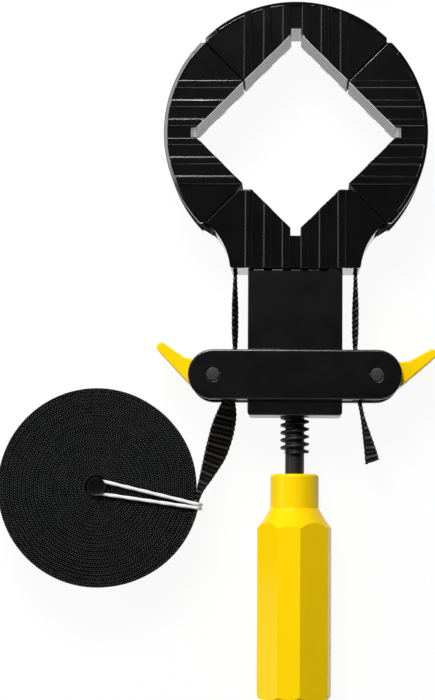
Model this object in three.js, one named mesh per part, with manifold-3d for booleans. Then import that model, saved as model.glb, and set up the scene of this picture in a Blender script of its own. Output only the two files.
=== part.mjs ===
// Band clamp: four notched jaws in a ring, held by a webbing band that a screw draws tight.
// Millimetres. The clamp lies on its back: X across, Y from the handle to the ring, Z up.
// The origin is on the back face, midway between the two lever pivots.
import * as THREE from 'three';
import { mergeVertices } from 'three/addons/utils/BufferGeometryUtils.js';
import Module from 'manifold-3d';

const wasm = await Module();
wasm.setup();

// Overall sizes and fits
const CLAMP_DEPTH = 34;
const CLEARANCE = 0.3;
const BAND_WIDTH = 25;
const BAND_THICKNESS = 1.35;
const BAND_SIDE_CLEARANCE = 0.35;
const LINK_REACH = 1.2;
const PINCH_DROP = 1.3;

// Ring of jaws
const RING_CENTRE_Y = 109.6;
const RING_RADIUS = 59.7;
const NOTCH_REACH = 47.2;
const RELIEF_WIDTH = 4.5;
const RELIEF_DEPTH = 0.3;
const JAW_GAP = 1.0;
const JAW_TIP_TRIM = 1.1;
const CHANNEL_DEPTH = 2.3;
const RIB_HEIGHT = 1.0;
const REAR_POCKET_DEPTH = 2.4;
const REAR_RIM_WIDTH = 5.2;
const RIB_WIDTH = 3.7;
const RIB_PITCH = 8.7;
const RIBS_PER_SIDE = 3;
const RIM_STEPS = 14;
const LIP_WIDTH = 1.6;
const LIP_END_MARGIN = 5.5;
const GRIP_GROOVES = 5;
const GRIP_GROOVE_WIDTH = 1.5;
const GRIP_GROOVE_DEPTH = 0.6;
const GRIP_GROOVE_PITCH = 5.2;

// Head jaw and its ram
const HEAD_BASE_Y = 48.0;
const HEAD_BASE_HALF_WIDTH = 29.6;
const HEAD_CORNER_RADIUS = 1.4;
const HEAD_FLOOR = 4;
const HEAD_INNER_CORNER_CUT = 2.8;
const HEAD_NOTCH_REACH = 45.7;
const HEAD_RELIEF_DEPTH = 1.2;
const HEAD_RIB_PITCH = 8.35;
const WAIST_RADIUS = 28.3;
const GUIDE_WALL = 1.5;
const RAM_WIDTH = 29.4;
const RAM_THICKNESS = 17.2;
const RAM_LENGTH = 32.6;
const RAM_FLOOR = 2.5;

// Housing: a column with a crossbar
const COLUMN_HALF_WIDTH = 21.3;
const COLUMN_DEPTH = 30;
const COLUMN_BOTTOM_Y = -18.3;
const COLUMN_CORNER_RADIUS = 1.6;
const CROSSBAR_RADIUS = 11.25;
const CHEEK_THICKNESS = 4;
const CHEEK_EDGE_RADIUS = 0.9;
const PIVOT_X = 36.9;
const PIN_RADIUS = 3.1;
const PIN_RECESS = 0.4;
const BORE_CLEARANCE = 0.3;
const BAND_RUN_X = 27.4;
const COLUMN_FLOOR = 4.1;
const NUT_WEB = 3.0;

// Screws that hold the two shells together
const SCREW_RADIUS = 1.5;
const SCREW_HEAD_RADIUS = 2.75;
const SCREW_HEAD_HEIGHT = 2;
const SCREW_RECESS = 0.4;
const SCREW_END_WALL = 4;
const SCREW_SLOT_WIDTH = 0.8;
const SCREW_SLOT_DEPTH = 0.9;
const SCREW_EDGE_WALL = 1.4;
const UPPER_SCREW_DROP = 6.3;

// Spindle, nut and handle
const THREAD_RADIUS = 6.55;
const THREAD_ROOT_RADIUS = 4.4;
const THREAD_PITCH = 3.4;
const THREAD_CREST_WIDTH = 1.0;
const THREAD_BASE_WIDTH = 2.2;
const THREAD_CLEARANCE = 0.35;
const THREAD_BOTTOM_Y = -34.9;
const THREAD_STEPS = 10;
const TIP_NECK_LENGTH = 3;
const TIP_NECK_RADIUS = 3.8;
const BUTTON_RADIUS = 5.5;
const BUTTON_HEIGHT = 2.9;
const WASHER_HEIGHT = 0.8;
const SHANK_RADIUS = 4.32;
const TANG_LENGTH = 55;
const NUT_HALF_WIDTH = 11;
const NUT_THICKNESS = 16;
const NUT_HEIGHT = 9;
const HANDLE_TOP_Y = -44.4;
const HANDLE_LENGTH = 101.5;
const HANDLE_COLLAR_RADIUS = 11;
const HANDLE_COLLAR_LENGTH = 15.3;
const HANDLE_FLARE_LENGTH = 9.4;
const HANDLE_WIDE_FACE = 15.1;
const HANDLE_NARROW_FACE = 16.2;
const HANDLE_EDGE_RADIUS = 1.4;
const HANDLE_TURN = -8.5;

// Cam levers and their springs
const LEVER_SIDE_CLEARANCE = 0.4;
const LEVER_HUB_RADIUS = 7.2;
const LEVER_TIP = [-24.7, 9.7];
const LEVER_TIP_RADIUS = 2.15;
const LEVER_UPPER_BEND = [-14.2, 6.4];
const LEVER_LOWER_BEND = [-11.2, -4.7];
const LEVER_LEFT_LIFT = 6.4;
const CAM_FACE_TOP = 1.0;
const CAM_FACE_BOTTOM = -4.2;
const CAM_TEETH = 5;
const CAM_TOOTH_DEPTH = 0.6;
const SPRING_WIRE_RADIUS = 0.45;
const SPRING_RADIUS = 4.5;
const SPRING_TURNS = 4;
const SPRING_PITCH = 1.4;
const SPRING_POCKET_RADIUS = 5.9;

// Free ends of the band, its coil, peg and elastic
const COIL_CENTRE = [-89.0, -50.7];
const COIL_OUTER_RADIUS = 45.0;
const COIL_PITCH = 1.8;
const COIL_TURNS = 22.4;
const COIL_START_ANGLE = -8.5;
const COIL_STEPS_PER_TURN = 22;
const COIL_LOW_Z = 3.2;
const TAIL_LENGTH = 32.8;
const TAIL_SWAY = 7.8;
const TAIL_SAG = 1.2;
const PEG_RADIUS = 3.4;
const PEG_NECK_RADIUS = 2.2;
const PEG_HEAD_RADIUS = 4.1;
const PEG_HEAD_HEIGHT = 0.9;
const ELASTIC_RADIUS = 0.82;
const ELASTIC_HOOK_ANGLE = -10.6;
const ELASTIC_STRAND_SPACING = 2.3;
const ELASTIC_SIDES = 6;

// Derived places
const MID_Z = CLAMP_DEPTH / 2;
const JOINT_GAP = JAW_GAP / Math.SQRT2;
const BAND_SLOT_WIDTH = BAND_WIDTH + 2 * BAND_SIDE_CLEARANCE;
const BAND_SLOT_HALF = BAND_THICKNESS / 2 + CLEARANCE;
const JAW_TIP_RADIUS = RING_RADIUS - JAW_TIP_TRIM;
const JAW_TIP_HALF_WIDTH = (Math.sqrt(2 * JAW_TIP_RADIUS ** 2 - JOINT_GAP ** 2) - JOINT_GAP) / 2;
const CHANNEL_RADIUS = RING_RADIUS - CHANNEL_DEPTH;
const BAND_RADIUS = CHANNEL_RADIUS + CLEARANCE + BAND_THICKNESS / 2;
const COLUMN_TOP_Y = HEAD_BASE_Y - CLEARANCE;
const RAM_BOTTOM_Y = HEAD_BASE_Y - RAM_LENGTH;
const COLUMN_FRONT = COLUMN_DEPTH / 2;
const CHEEK_FACE = CLAMP_DEPTH / 2;
const CHEEK_INNER = CHEEK_FACE - CHEEK_THICKNESS;
const LEVER_WIDTH = 2 * (CHEEK_INNER - LEVER_SIDE_CLEARANCE);
const ANVIL_X = BAND_RUN_X - BAND_SLOT_HALF;
const NUT_FLOOR_Y = COLUMN_BOTTOM_Y + COLUMN_FLOOR;
const NUT_CEILING_Y = NUT_FLOOR_Y + NUT_HEIGHT + 2 * CLEARANCE;
const CAVITY_FLOOR_Y = NUT_CEILING_Y + NUT_WEB;
const CAVITY_HALF_WIDTH = RAM_WIDTH / 2 + CLEARANCE;
const CAVITY_HALF_DEPTH = RAM_THICKNESS / 2 + CLEARANCE;
const BUTTON_BOTTOM_Y = RAM_BOTTOM_Y + RAM_FLOOR + CLEARANCE;
const BUTTON_TOP_Y = BUTTON_BOTTOM_Y + BUTTON_HEIGHT;
const WASHER_BOTTOM_Y = BUTTON_TOP_Y + CLEARANCE;
const THREAD_TOP_Y = RAM_BOTTOM_Y - TIP_NECK_LENGTH;
const SPINDLE_BORE_RADIUS = THREAD_RADIUS + BORE_CLEARANCE;
const CAM_REACH = PIVOT_X - BAND_RUN_X - BAND_SLOT_HALF;
const BAND_PINCH_Y = CAM_FACE_BOTTOM - PINCH_DROP;
const COIL_MID_Z = COIL_LOW_Z + BAND_WIDTH / 2;

const degrees = (angle) => THREE.MathUtils.degToRad(angle);
const turned = (x, y, angle) => new THREE.Vector2(x, y).rotateAround(new THREE.Vector2(), degrees(angle));

// Solids: closed meshes in, closed meshes out

function solid(geometry) {
  const bare = geometry.clone();
  bare.deleteAttribute('normal');
  bare.deleteAttribute('uv');
  const merged = mergeVertices(bare, 1e-4);
  const index = merged.index.array;
  const faces = [];
  for (let i = 0; i < index.length; i += 3) {
    const [a, b, c] = [index[i], index[i + 1], index[i + 2]];
    if (a !== b && b !== c && c !== a) {
      faces.push(a, b, c);
    }
  }
  const vertProperties = new Float32Array(merged.attributes.position.array);
  const mesh = new wasm.Mesh({ numProp: 3, vertProperties, triVerts: new Uint32Array(faces) });
  return new wasm.Manifold(mesh);
}

function geometryOf(shape) {
  const { vertProperties, triVerts } = shape.getMesh();
  const geometry = new THREE.BufferGeometry();
  geometry.setAttribute('position', new THREE.BufferAttribute(vertProperties, 3));
  geometry.setIndex(new THREE.BufferAttribute(triVerts, 1));
  geometry.computeVertexNormals();
  return geometry;
}

function prism(outline, low, high, curveSegments = 12) {
  const geometry = new THREE.ExtrudeGeometry(outline, {
    depth: high - low,
    bevelEnabled: false,
    curveSegments,
  });
  return solid(geometry.translate(0, 0, low));
}

function block(x0, x1, y0, y1, z0, z1) {
  const geometry = new THREE.BoxGeometry(x1 - x0, y1 - y0, z1 - z0);
  return solid(geometry.translate((x0 + x1) / 2, (y0 + y1) / 2, (z0 + z1) / 2));
}

function rodAlongZ(x, y, radius, low, high, segments = 24) {
  const geometry = new THREE.CylinderGeometry(radius, radius, high - low, segments);
  return solid(geometry.rotateX(Math.PI / 2).translate(x, y, (low + high) / 2));
}

function rodAlongY(radius, low, high, segments = 24) {
  const geometry = new THREE.CylinderGeometry(radius, radius, high - low, segments);
  return solid(geometry.translate(0, (low + high) / 2, MID_Z));
}

// A profile of [radius, y] pairs turned about the spindle's axis.
function turnedAlongY(profile, segments = 32) {
  const points = profile.map(([radius, y]) => new THREE.Vector2(radius, y));
  return solid(new THREE.LatheGeometry(points, segments).translate(0, 0, MID_Z));
}

function joined(first, ...others) {
  return others.reduce((sum, other) => sum.add(other), first);
}

function cut(first, ...others) {
  return others.reduce((rest, other) => rest.subtract(other), first);
}

// A closed mesh from a row of rings, each a list of points in the same order.
function loft(rings, closed = false) {
  const size = rings[0].length;
  const position = rings.flat().flatMap((point) => point.toArray());
  const index = [];
  const last = closed ? rings.length : rings.length - 1;
  for (let i = 0; i < last; i += 1) {
    const here = i * size;
    const next = ((i + 1) % rings.length) * size;
    for (let k = 0; k < size; k += 1) {
      const after = (k + 1) % size;
      index.push(here + k, next + k, next + after, here + k, next + after, here + after);
    }
  }
  if (!closed) {
    const end = (rings.length - 1) * size;
    for (let k = 1; k < size - 1; k += 1) {
      index.push(0, k, k + 1, end, end + k + 1, end + k);
    }
  }
  const geometry = new THREE.BufferGeometry();
  geometry.setAttribute('position', new THREE.Float32BufferAttribute(position, 3));
  geometry.setIndex(index);
  geometry.computeVertexNormals();
  return geometry;
}

// Band: a flat strip that follows stations, each a place on its middle line and a lean in degrees.
// A lean of 0 stands the strip's width along Z, and a positive one tips its front edge towards -X.

function stripRings(stations, thickness, width) {
  return stations.map(({ at, lean }, i) => {
    const before = stations[Math.max(i - 1, 0)].at;
    const after = stations[Math.min(i + 1, stations.length - 1)].at;
    const along = after.clone().sub(before).normalize();
    const upright = new THREE.Vector3(-Math.sin(degrees(lean)), 0, Math.cos(degrees(lean)));
    const across = upright.addScaledVector(along, -upright.dot(along)).normalize();
    const out = new THREE.Vector3().crossVectors(along, across);
    const corner = (side, edge) => at.clone()
      .addScaledVector(out, (side * thickness) / 2)
      .addScaledVector(across, (edge * width) / 2);
    return [corner(-1, -1), corner(1, -1), corner(1, 1), corner(-1, 1)];
  });
}

function bandStrip(stations) {
  return loft(stripRings(stations, BAND_THICKNESS, BAND_WIDTH));
}

function station(x, y, z = MID_Z, lean = 0) {
  return { at: new THREE.Vector3(x, y, z), lean };
}

function smoothStations(points, count) {
  const curve = new THREE.CatmullRomCurve3(points.map((p) => p.at), false, 'centripetal');
  return Array.from({ length: count + 1 }, (_, i) => {
    const share = i / count;
    const place = share * (points.length - 1);
    const k = Math.min(Math.floor(place), points.length - 2);
    const lean = THREE.MathUtils.lerp(points[k].lean, points[k + 1].lean, place - k);
    return { at: curve.getPoint(share), lean };
  });
}

// Least gap that a wound strip or wire keeps to itself, measured between points half a turn apart or more.
function leastGap(line, stepsPerTurn, thickness) {
  let least = Infinity;
  const segment = new THREE.Line3();
  const nearest = new THREE.Vector3();
  for (let i = 0; i < line.length; i += 1) {
    for (let j = i + Math.round(stepsPerTurn / 2); j < line.length - 1; j += 1) {
      segment.set(line[j], line[j + 1]);
      segment.closestPointToPoint(line[i], true, nearest);
      least = Math.min(least, nearest.distanceTo(line[i]));
    }
  }
  return least - thickness;
}

// Corner jaw, drawn about the ring's centre with its notch's corner on +Y

function notchSide(reach, reliefDepth) {
  const inner = (reach - JOINT_GAP) / 2;
  return {
    reliefTop: [RELIEF_WIDTH / 2, reach + reliefDepth],
    reliefBottom: [RELIEF_WIDTH / 2, reach - RELIEF_WIDTH / 2],
    inner: [inner, inner + JOINT_GAP],
  };
}

function cornerJawOutline() {
  const { reliefTop, reliefBottom, inner } = notchSide(NOTCH_REACH, RELIEF_DEPTH);
  const tipAngle = Math.acos(JAW_TIP_HALF_WIDTH / RING_RADIUS);
  const outline = new THREE.Shape();
  outline.moveTo(...reliefBottom);
  outline.lineTo(...inner);
  outline.lineTo(JAW_TIP_HALF_WIDTH, JAW_TIP_HALF_WIDTH + JOINT_GAP);
  outline.absarc(0, 0, RING_RADIUS, tipAngle, Math.PI - tipAngle, false);
  outline.lineTo(-JAW_TIP_HALF_WIDTH, JAW_TIP_HALF_WIDTH + JOINT_GAP);
  outline.lineTo(-inner[0], inner[1]);
  outline.lineTo(-reliefBottom[0], reliefBottom[1]);
  outline.lineTo(-reliefTop[0], reliefTop[1]);
  outline.lineTo(...reliefTop);
  return outline;
}

// Part of a ring about the jaw's own centre, between two radii and two angles from +X.
function ringSector(inner, outer, from, to) {
  const outline = new THREE.Shape();
  outline.absarc(0, 0, outer, from, to, false);
  outline.absarc(0, 0, inner, to, from, true);
  return outline;
}

function ribs(outline, low, high, pitch) {
  const strips = [];
  for (let i = 0; i < RIBS_PER_SIDE; i += 1) {
    for (const side of [-1, 1]) {
      const x = side * (i + 0.5) * pitch;
      strips.push(block(x - RIB_WIDTH / 2, x + RIB_WIDTH / 2, low, high, 0, CLAMP_DEPTH));
    }
  }
  return joined(...strips).intersect(prism(outline, 0, CLAMP_DEPTH, RIM_STEPS));
}

// The rim that stands as proud as the ribs: a thin lip in front, which stops short of the tips.
function lip(outline) {
  const tipAngle = Math.acos(JAW_TIP_HALF_WIDTH / RING_RADIUS);
  const from = tipAngle + LIP_END_MARGIN / RING_RADIUS;
  const band = ringSector(RING_RADIUS - LIP_WIDTH, 2 * RING_RADIUS, from, Math.PI - from);
  return prism(band, MID_Z, CLAMP_DEPTH, RIM_STEPS).intersect(prism(outline, 0, CLAMP_DEPTH, RIM_STEPS));
}

// A wider rim behind, round the hollows between the ribs.
function rearRim(outline) {
  const band = ringSector(RING_RADIUS - REAR_RIM_WIDTH, 2 * RING_RADIUS, 0, Math.PI);
  return prism(band, 0, MID_Z, 2 * RIM_STEPS).intersect(prism(outline, 0, CLAMP_DEPTH, RIM_STEPS));
}

// Shallow grooves along both notch faces, from the corner out, which keep the work from slipping.
function gripGrooves(reach) {
  const grooves = [];
  for (let i = 0; i < GRIP_GROOVES; i += 1) {
    const z = MID_Z + (i - (GRIP_GROOVES - 1) / 2) * GRIP_GROOVE_PITCH;
    for (const side of [-1, 1]) {
      const geometry = new THREE.BoxGeometry(reach, 2 * GRIP_GROOVE_DEPTH, GRIP_GROOVE_WIDTH);
      geometry.translate((side * reach) / 2, 0, 0);
      geometry.rotateZ((-side * Math.PI) / 4);
      geometry.translate(0, reach, z);
      grooves.push(solid(geometry));
    }
  }
  return grooves;
}

function cornerJaw() {
  const outline = cornerJawOutline();
  const body = prism(outline, REAR_POCKET_DEPTH, CLAMP_DEPTH - RIB_HEIGHT, RIM_STEPS);
  const channel = prism(
    ringSector(CHANNEL_RADIUS, RING_RADIUS + CHANNEL_DEPTH, 0, Math.PI),
    MID_Z - BAND_SLOT_WIDTH / 2,
    MID_Z + BAND_SLOT_WIDTH / 2,
    2 * RIM_STEPS,
  );
  const whole = joined(body, ribs(outline, 0, RING_RADIUS, RIB_PITCH), lip(outline), rearRim(outline));
  return cut(whole, channel, ...gripGrooves(NOTCH_REACH));
}

// Head jaw: a notch of its own on a waisted block, with a ram that slides in the column

const WAIST_TIP = new THREE.Vector2(
  JAW_TIP_HALF_WIDTH - JOINT_GAP,
  RING_CENTRE_Y - JAW_TIP_HALF_WIDTH,
);
const WAIST_FOOT = new THREE.Vector2(HEAD_BASE_HALF_WIDTH, HEAD_BASE_Y + HEAD_CORNER_RADIUS);
const WAIST_CENTRE = waistCentre();

// The waist's arc passes through its tip and foot and bends towards the column.
function waistCentre() {
  const chord = WAIST_FOOT.clone().sub(WAIST_TIP);
  const middle = WAIST_TIP.clone().add(WAIST_FOOT).multiplyScalar(0.5);
  const outward = new THREE.Vector2(-chord.y, chord.x).normalize();
  const away = Math.sqrt(WAIST_RADIUS ** 2 - chord.lengthSq() / 4);
  return middle.addScaledVector(outward, away);
}

function waistAngle(point) {
  return Math.atan2(point.y - WAIST_CENTRE.y, point.x - WAIST_CENTRE.x);
}

function headOutline() {
  const { reliefTop, reliefBottom, inner } = notchSide(HEAD_NOTCH_REACH, HEAD_RELIEF_DEPTH);
  const y = (fromCentre) => RING_CENTRE_Y - fromCentre;
  const cutY = inner[1] + HEAD_INNER_CORNER_CUT;
  const angle = { tip: waistAngle(WAIST_TIP), foot: waistAngle(WAIST_FOOT) };
  const foot = HEAD_BASE_HALF_WIDTH - HEAD_CORNER_RADIUS;
  const footY = HEAD_BASE_Y + HEAD_CORNER_RADIUS;
  const outline = new THREE.Shape();
  outline.moveTo(reliefBottom[0], y(reliefBottom[1]));
  outline.lineTo(reliefTop[0], y(reliefTop[1]));
  outline.lineTo(-reliefTop[0], y(reliefTop[1]));
  outline.lineTo(-reliefBottom[0], y(reliefBottom[1]));
  outline.lineTo(-(HEAD_NOTCH_REACH - cutY), y(cutY));
  outline.lineTo(-(cutY - JOINT_GAP), y(cutY));
  outline.lineTo(-WAIST_TIP.x, WAIST_TIP.y);
  const [leftTip, leftFoot] = [Math.PI - angle.tip, Math.PI - angle.foot];
  outline.absarc(-WAIST_CENTRE.x, WAIST_CENTRE.y, WAIST_RADIUS, leftTip, leftFoot, true);
  outline.absarc(-foot, footY, HEAD_CORNER_RADIUS, Math.PI, 1.5 * Math.PI, false);
  outline.absarc(foot, footY, HEAD_CORNER_RADIUS, 1.5 * Math.PI, 2 * Math.PI, false);
  outline.absarc(WAIST_CENTRE.x, WAIST_CENTRE.y, WAIST_RADIUS, angle.foot, angle.tip, true);
  outline.lineTo(cutY - JOINT_GAP, y(cutY));
  outline.lineTo(HEAD_NOTCH_REACH - cutY, y(cutY));
  return outline;
}

// Where the loop leaves a corner jaw, at a distance past the joint line between two jaws.
function loopEnd(past) {
  const diagonal = Math.SQRT1_2 * BAND_RADIUS;
  const shift = Math.SQRT1_2 * past;
  return new THREE.Vector2(diagonal - shift, RING_CENTRE_Y - diagonal - shift);
}

// The band's way through the head on the right: in near the waist's tip, round behind the waist, out below.
function guidePoints() {
  const tip = waistAngle(WAIST_TIP);
  const span = waistAngle(WAIST_FOOT) - tip;
  const inset = GUIDE_WALL + BAND_SLOT_HALF;
  const places = [[0.14, 0], [0.3, 0.5], [0.5, 0.9], [0.74, 1]];
  return places.map(([share, depth]) => {
    const angle = tip + share * span;
    const radius = WAIST_RADIUS + depth * inset;
    return station(WAIST_CENTRE.x + radius * Math.cos(angle), WAIST_CENTRE.y + radius * Math.sin(angle));
  });
}

function runStations(lowEnd, lead) {
  const above = [...lead, ...guidePoints(), station(BAND_RUN_X, HEAD_BASE_Y + HEAD_CORNER_RADIUS)];
  return [
    ...smoothStations([...above, station(BAND_RUN_X, HEAD_BASE_Y - RIB_HEIGHT)], 20),
    station(BAND_RUN_X, COLUMN_TOP_Y - 2),
    station(BAND_RUN_X, lowEnd),
  ];
}

function mirrored(stations) {
  return stations.map(({ at, lean }) => ({ at: new THREE.Vector3(-at.x, at.y, at.z), lean: -lean }));
}

// The passage follows the band with room all round, past both of the head's faces.
function bandPassage(side) {
  const mouth = [loopEnd(-LINK_REACH), loopEnd(0)].map(({ x, y }) => station(x, y));
  const stations = runStations(COLUMN_TOP_Y - 3, mouth);
  const placed = side > 0 ? stations : mirrored(stations);
  return solid(loft(stripRings(placed, 2 * BAND_SLOT_HALF, BAND_SLOT_WIDTH)));
}

function headGrooves() {
  return gripGrooves(HEAD_NOTCH_REACH).map((groove) => {
    const geometry = geometryOf(groove).rotateZ(Math.PI).translate(0, RING_CENTRE_Y, 0);
    return solid(geometry);
  });
}

// The ram ends in a slot, open to the front, that holds the spindle's button.
function ram() {
  const half = RAM_WIDTH / 2;
  const front = MID_Z + RAM_THICKNESS / 2;
  const bar = block(-half, half, RAM_BOTTOM_Y, HEAD_BASE_Y + 2, MID_Z - RAM_THICKNESS / 2, front);
  const buttonRoom = BUTTON_RADIUS + 2 * CLEARANCE;
  const neckRoom = TIP_NECK_RADIUS + 2 * CLEARANCE;
  const ceiling = WASHER_BOTTOM_Y + WASHER_HEIGHT + CLEARANCE;
  const floor = RAM_BOTTOM_Y + RAM_FLOOR;
  const buttonSlot = block(-buttonRoom, buttonRoom, floor, ceiling, MID_Z - buttonRoom, front + 1);
  const neckSlot = block(-neckRoom, neckRoom, RAM_BOTTOM_Y - 1, floor + 1, MID_Z - neckRoom, front + 1);
  return cut(bar, buttonSlot, neckSlot);
}

// Hollows between the ribs at the back, left open at the notch.
function headRearPockets() {
  const half = (HEAD_RIB_PITCH - RIB_WIDTH) / 2;
  return Array.from({ length: 2 * RIBS_PER_SIDE - 1 }, (_, i) => {
    const x = (i - RIBS_PER_SIDE + 1) * HEAD_RIB_PITCH;
    return block(x - half, x + half, HEAD_BASE_Y + HEAD_FLOOR, RING_CENTRE_Y, -1, REAR_POCKET_DEPTH);
  });
}

function headJaw() {
  const outline = headOutline();
  const body = prism(outline, RIB_HEIGHT, CLAMP_DEPTH - RIB_HEIGHT, RIM_STEPS);
  const strips = ribs(outline, HEAD_BASE_Y, RING_CENTRE_Y, HEAD_RIB_PITCH);
  const shaped = joined(body, strips, ram());
  return cut(shaped, bandPassage(1), bandPassage(-1), ...headRearPockets(), ...headGrooves());
}

// Housing shells: side is 1 for the front shell and -1 for the rear one, split at the middle plane

function between(side, near, far) {
  const ends = [MID_Z + side * near, MID_Z + side * far];
  return [Math.min(...ends), Math.max(...ends)];
}

function columnOutline() {
  const [half, radius] = [COLUMN_HALF_WIDTH, COLUMN_CORNER_RADIUS];
  const low = COLUMN_BOTTOM_Y + radius;
  const outline = new THREE.Shape();
  outline.moveTo(half, COLUMN_TOP_Y);
  outline.lineTo(-half, COLUMN_TOP_Y);
  outline.absarc(-half + radius, low, radius, Math.PI, 1.5 * Math.PI, false);
  outline.absarc(half - radius, low, radius, 1.5 * Math.PI, 2 * Math.PI, false);
  return outline;
}

function cheek(side) {
  const radius = CROSSBAR_RADIUS - CHEEK_EDGE_RADIUS;
  const outline = new THREE.Shape();
  outline.absarc(PIVOT_X, 0, radius, -Math.PI / 2, Math.PI / 2, false);
  outline.absarc(-PIVOT_X, 0, radius, Math.PI / 2, 1.5 * Math.PI, false);
  const geometry = new THREE.ExtrudeGeometry(outline, {
    depth: CHEEK_THICKNESS - 2 * CHEEK_EDGE_RADIUS,
    bevelSize: CHEEK_EDGE_RADIUS,
    bevelThickness: CHEEK_EDGE_RADIUS,
    bevelSegments: 2,
    curveSegments: 14,
  });
  const [low] = between(side, CHEEK_INNER, CHEEK_FACE);
  return solid(geometry.translate(0, 0, low + CHEEK_EDGE_RADIUS));
}

const SCREW_INSET = SCREW_HEAD_RADIUS + BORE_CLEARANCE + SCREW_EDGE_WALL;
const SCREW_PLACES = [
  { x: -1, y: 1 },
  { x: 1, y: 1 },
  { x: -1, y: -1 },
  { x: 1, y: -1 },
].map(({ x, y }) => {
  const upper = y > 0;
  const inside = upper ? CAVITY_HALF_WIDTH : NUT_HALF_WIDTH + CLEARANCE;
  return {
    x: (x * (inside + COLUMN_HALF_WIDTH)) / 2,
    y: upper ? COLUMN_TOP_Y - UPPER_SCREW_DROP : SCREW_INSET - CROSSBAR_RADIUS,
    back: upper ? MID_Z - COLUMN_FRONT : 0,
  };
});
const SCREW_TIP_Z = MID_Z + COLUMN_FRONT - SCREW_END_WALL;

function screwHole({ x, y, back }) {
  const shank = rodAlongZ(x, y, SCREW_RADIUS + BORE_CLEARANCE, back - 1, SCREW_TIP_Z + CLEARANCE, 12);
  const headEnd = back + SCREW_RECESS + SCREW_HEAD_HEIGHT + CLEARANCE;
  const head = rodAlongZ(x, y, SCREW_HEAD_RADIUS + BORE_CLEARANCE, back - 1, headEnd, 16);
  return joined(shank, head);
}

function housingShell(side) {
  const split = CLEARANCE / 2;
  const column = prism(columnOutline(), ...between(side, split, COLUMN_FRONT), 6);
  const anvil = (x) => block(
    Math.min(x * ANVIL_X, x * (COLUMN_HALF_WIDTH - 1)),
    Math.max(x * ANVIL_X, x * (COLUMN_HALF_WIDTH - 1)),
    -CROSSBAR_RADIUS + CHEEK_EDGE_RADIUS,
    CROSSBAR_RADIUS - CHEEK_EDGE_RADIUS,
    ...between(side, split, CHEEK_INNER + CHEEK_THICKNESS / 2),
  );
  const plate = cheek(side);
  const whole = joined(column, plate, anvil(1), anvil(-1));
  const room = (half, y0, y1, depth) => block(-half, half, y0, y1, ...between(side, -1, depth));
  const nutRoom = room(
    NUT_HALF_WIDTH + CLEARANCE,
    NUT_FLOOR_Y,
    NUT_CEILING_Y,
    NUT_THICKNESS / 2 + CLEARANCE,
  );
  const ramRoom = room(CAVITY_HALF_WIDTH, CAVITY_FLOOR_Y, COLUMN_TOP_Y + 1, CAVITY_HALF_DEPTH);
  const bore = rodAlongY(SPINDLE_BORE_RADIUS, COLUMN_BOTTOM_Y - 1, CAVITY_FLOOR_Y + 1, 24);
  const pinBore = (x) => rodAlongZ(x * PIVOT_X, 0, PIN_RADIUS + BORE_CLEARANCE, -1, CLAMP_DEPTH + 1, 20);
  return cut(whole, nutRoom, ramRoom, bore, pinBore(1), pinBore(-1), ...SCREW_PLACES.map(screwHole));
}

function housingScrew({ x, y, back }) {
  const headLow = back + SCREW_RECESS;
  const headHigh = headLow + SCREW_HEAD_HEIGHT;
  const head = rodAlongZ(x, y, SCREW_HEAD_RADIUS, headLow, headHigh, 16);
  const shank = rodAlongZ(x, y, SCREW_RADIUS, headHigh - 0.5, SCREW_TIP_Z, 12);
  const slot = (long, wide) => block(
    x - long / 2,
    x + long / 2,
    y - wide / 2,
    y + wide / 2,
    headLow - 1,
    headLow + SCREW_SLOT_DEPTH,
  );
  const long = 1.3 * SCREW_HEAD_RADIUS;
  return cut(joined(head, shank), slot(long, SCREW_SLOT_WIDTH), slot(SCREW_SLOT_WIDTH, long));
}

function pivotPin(side) {
  return rodAlongZ(side * PIVOT_X, 0, PIN_RADIUS, PIN_RECESS, CLAMP_DEPTH - PIN_RECESS, 20);
}

// Screw thread: one turn of the profile, carried up a right-handed helix about the spindle's axis

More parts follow.
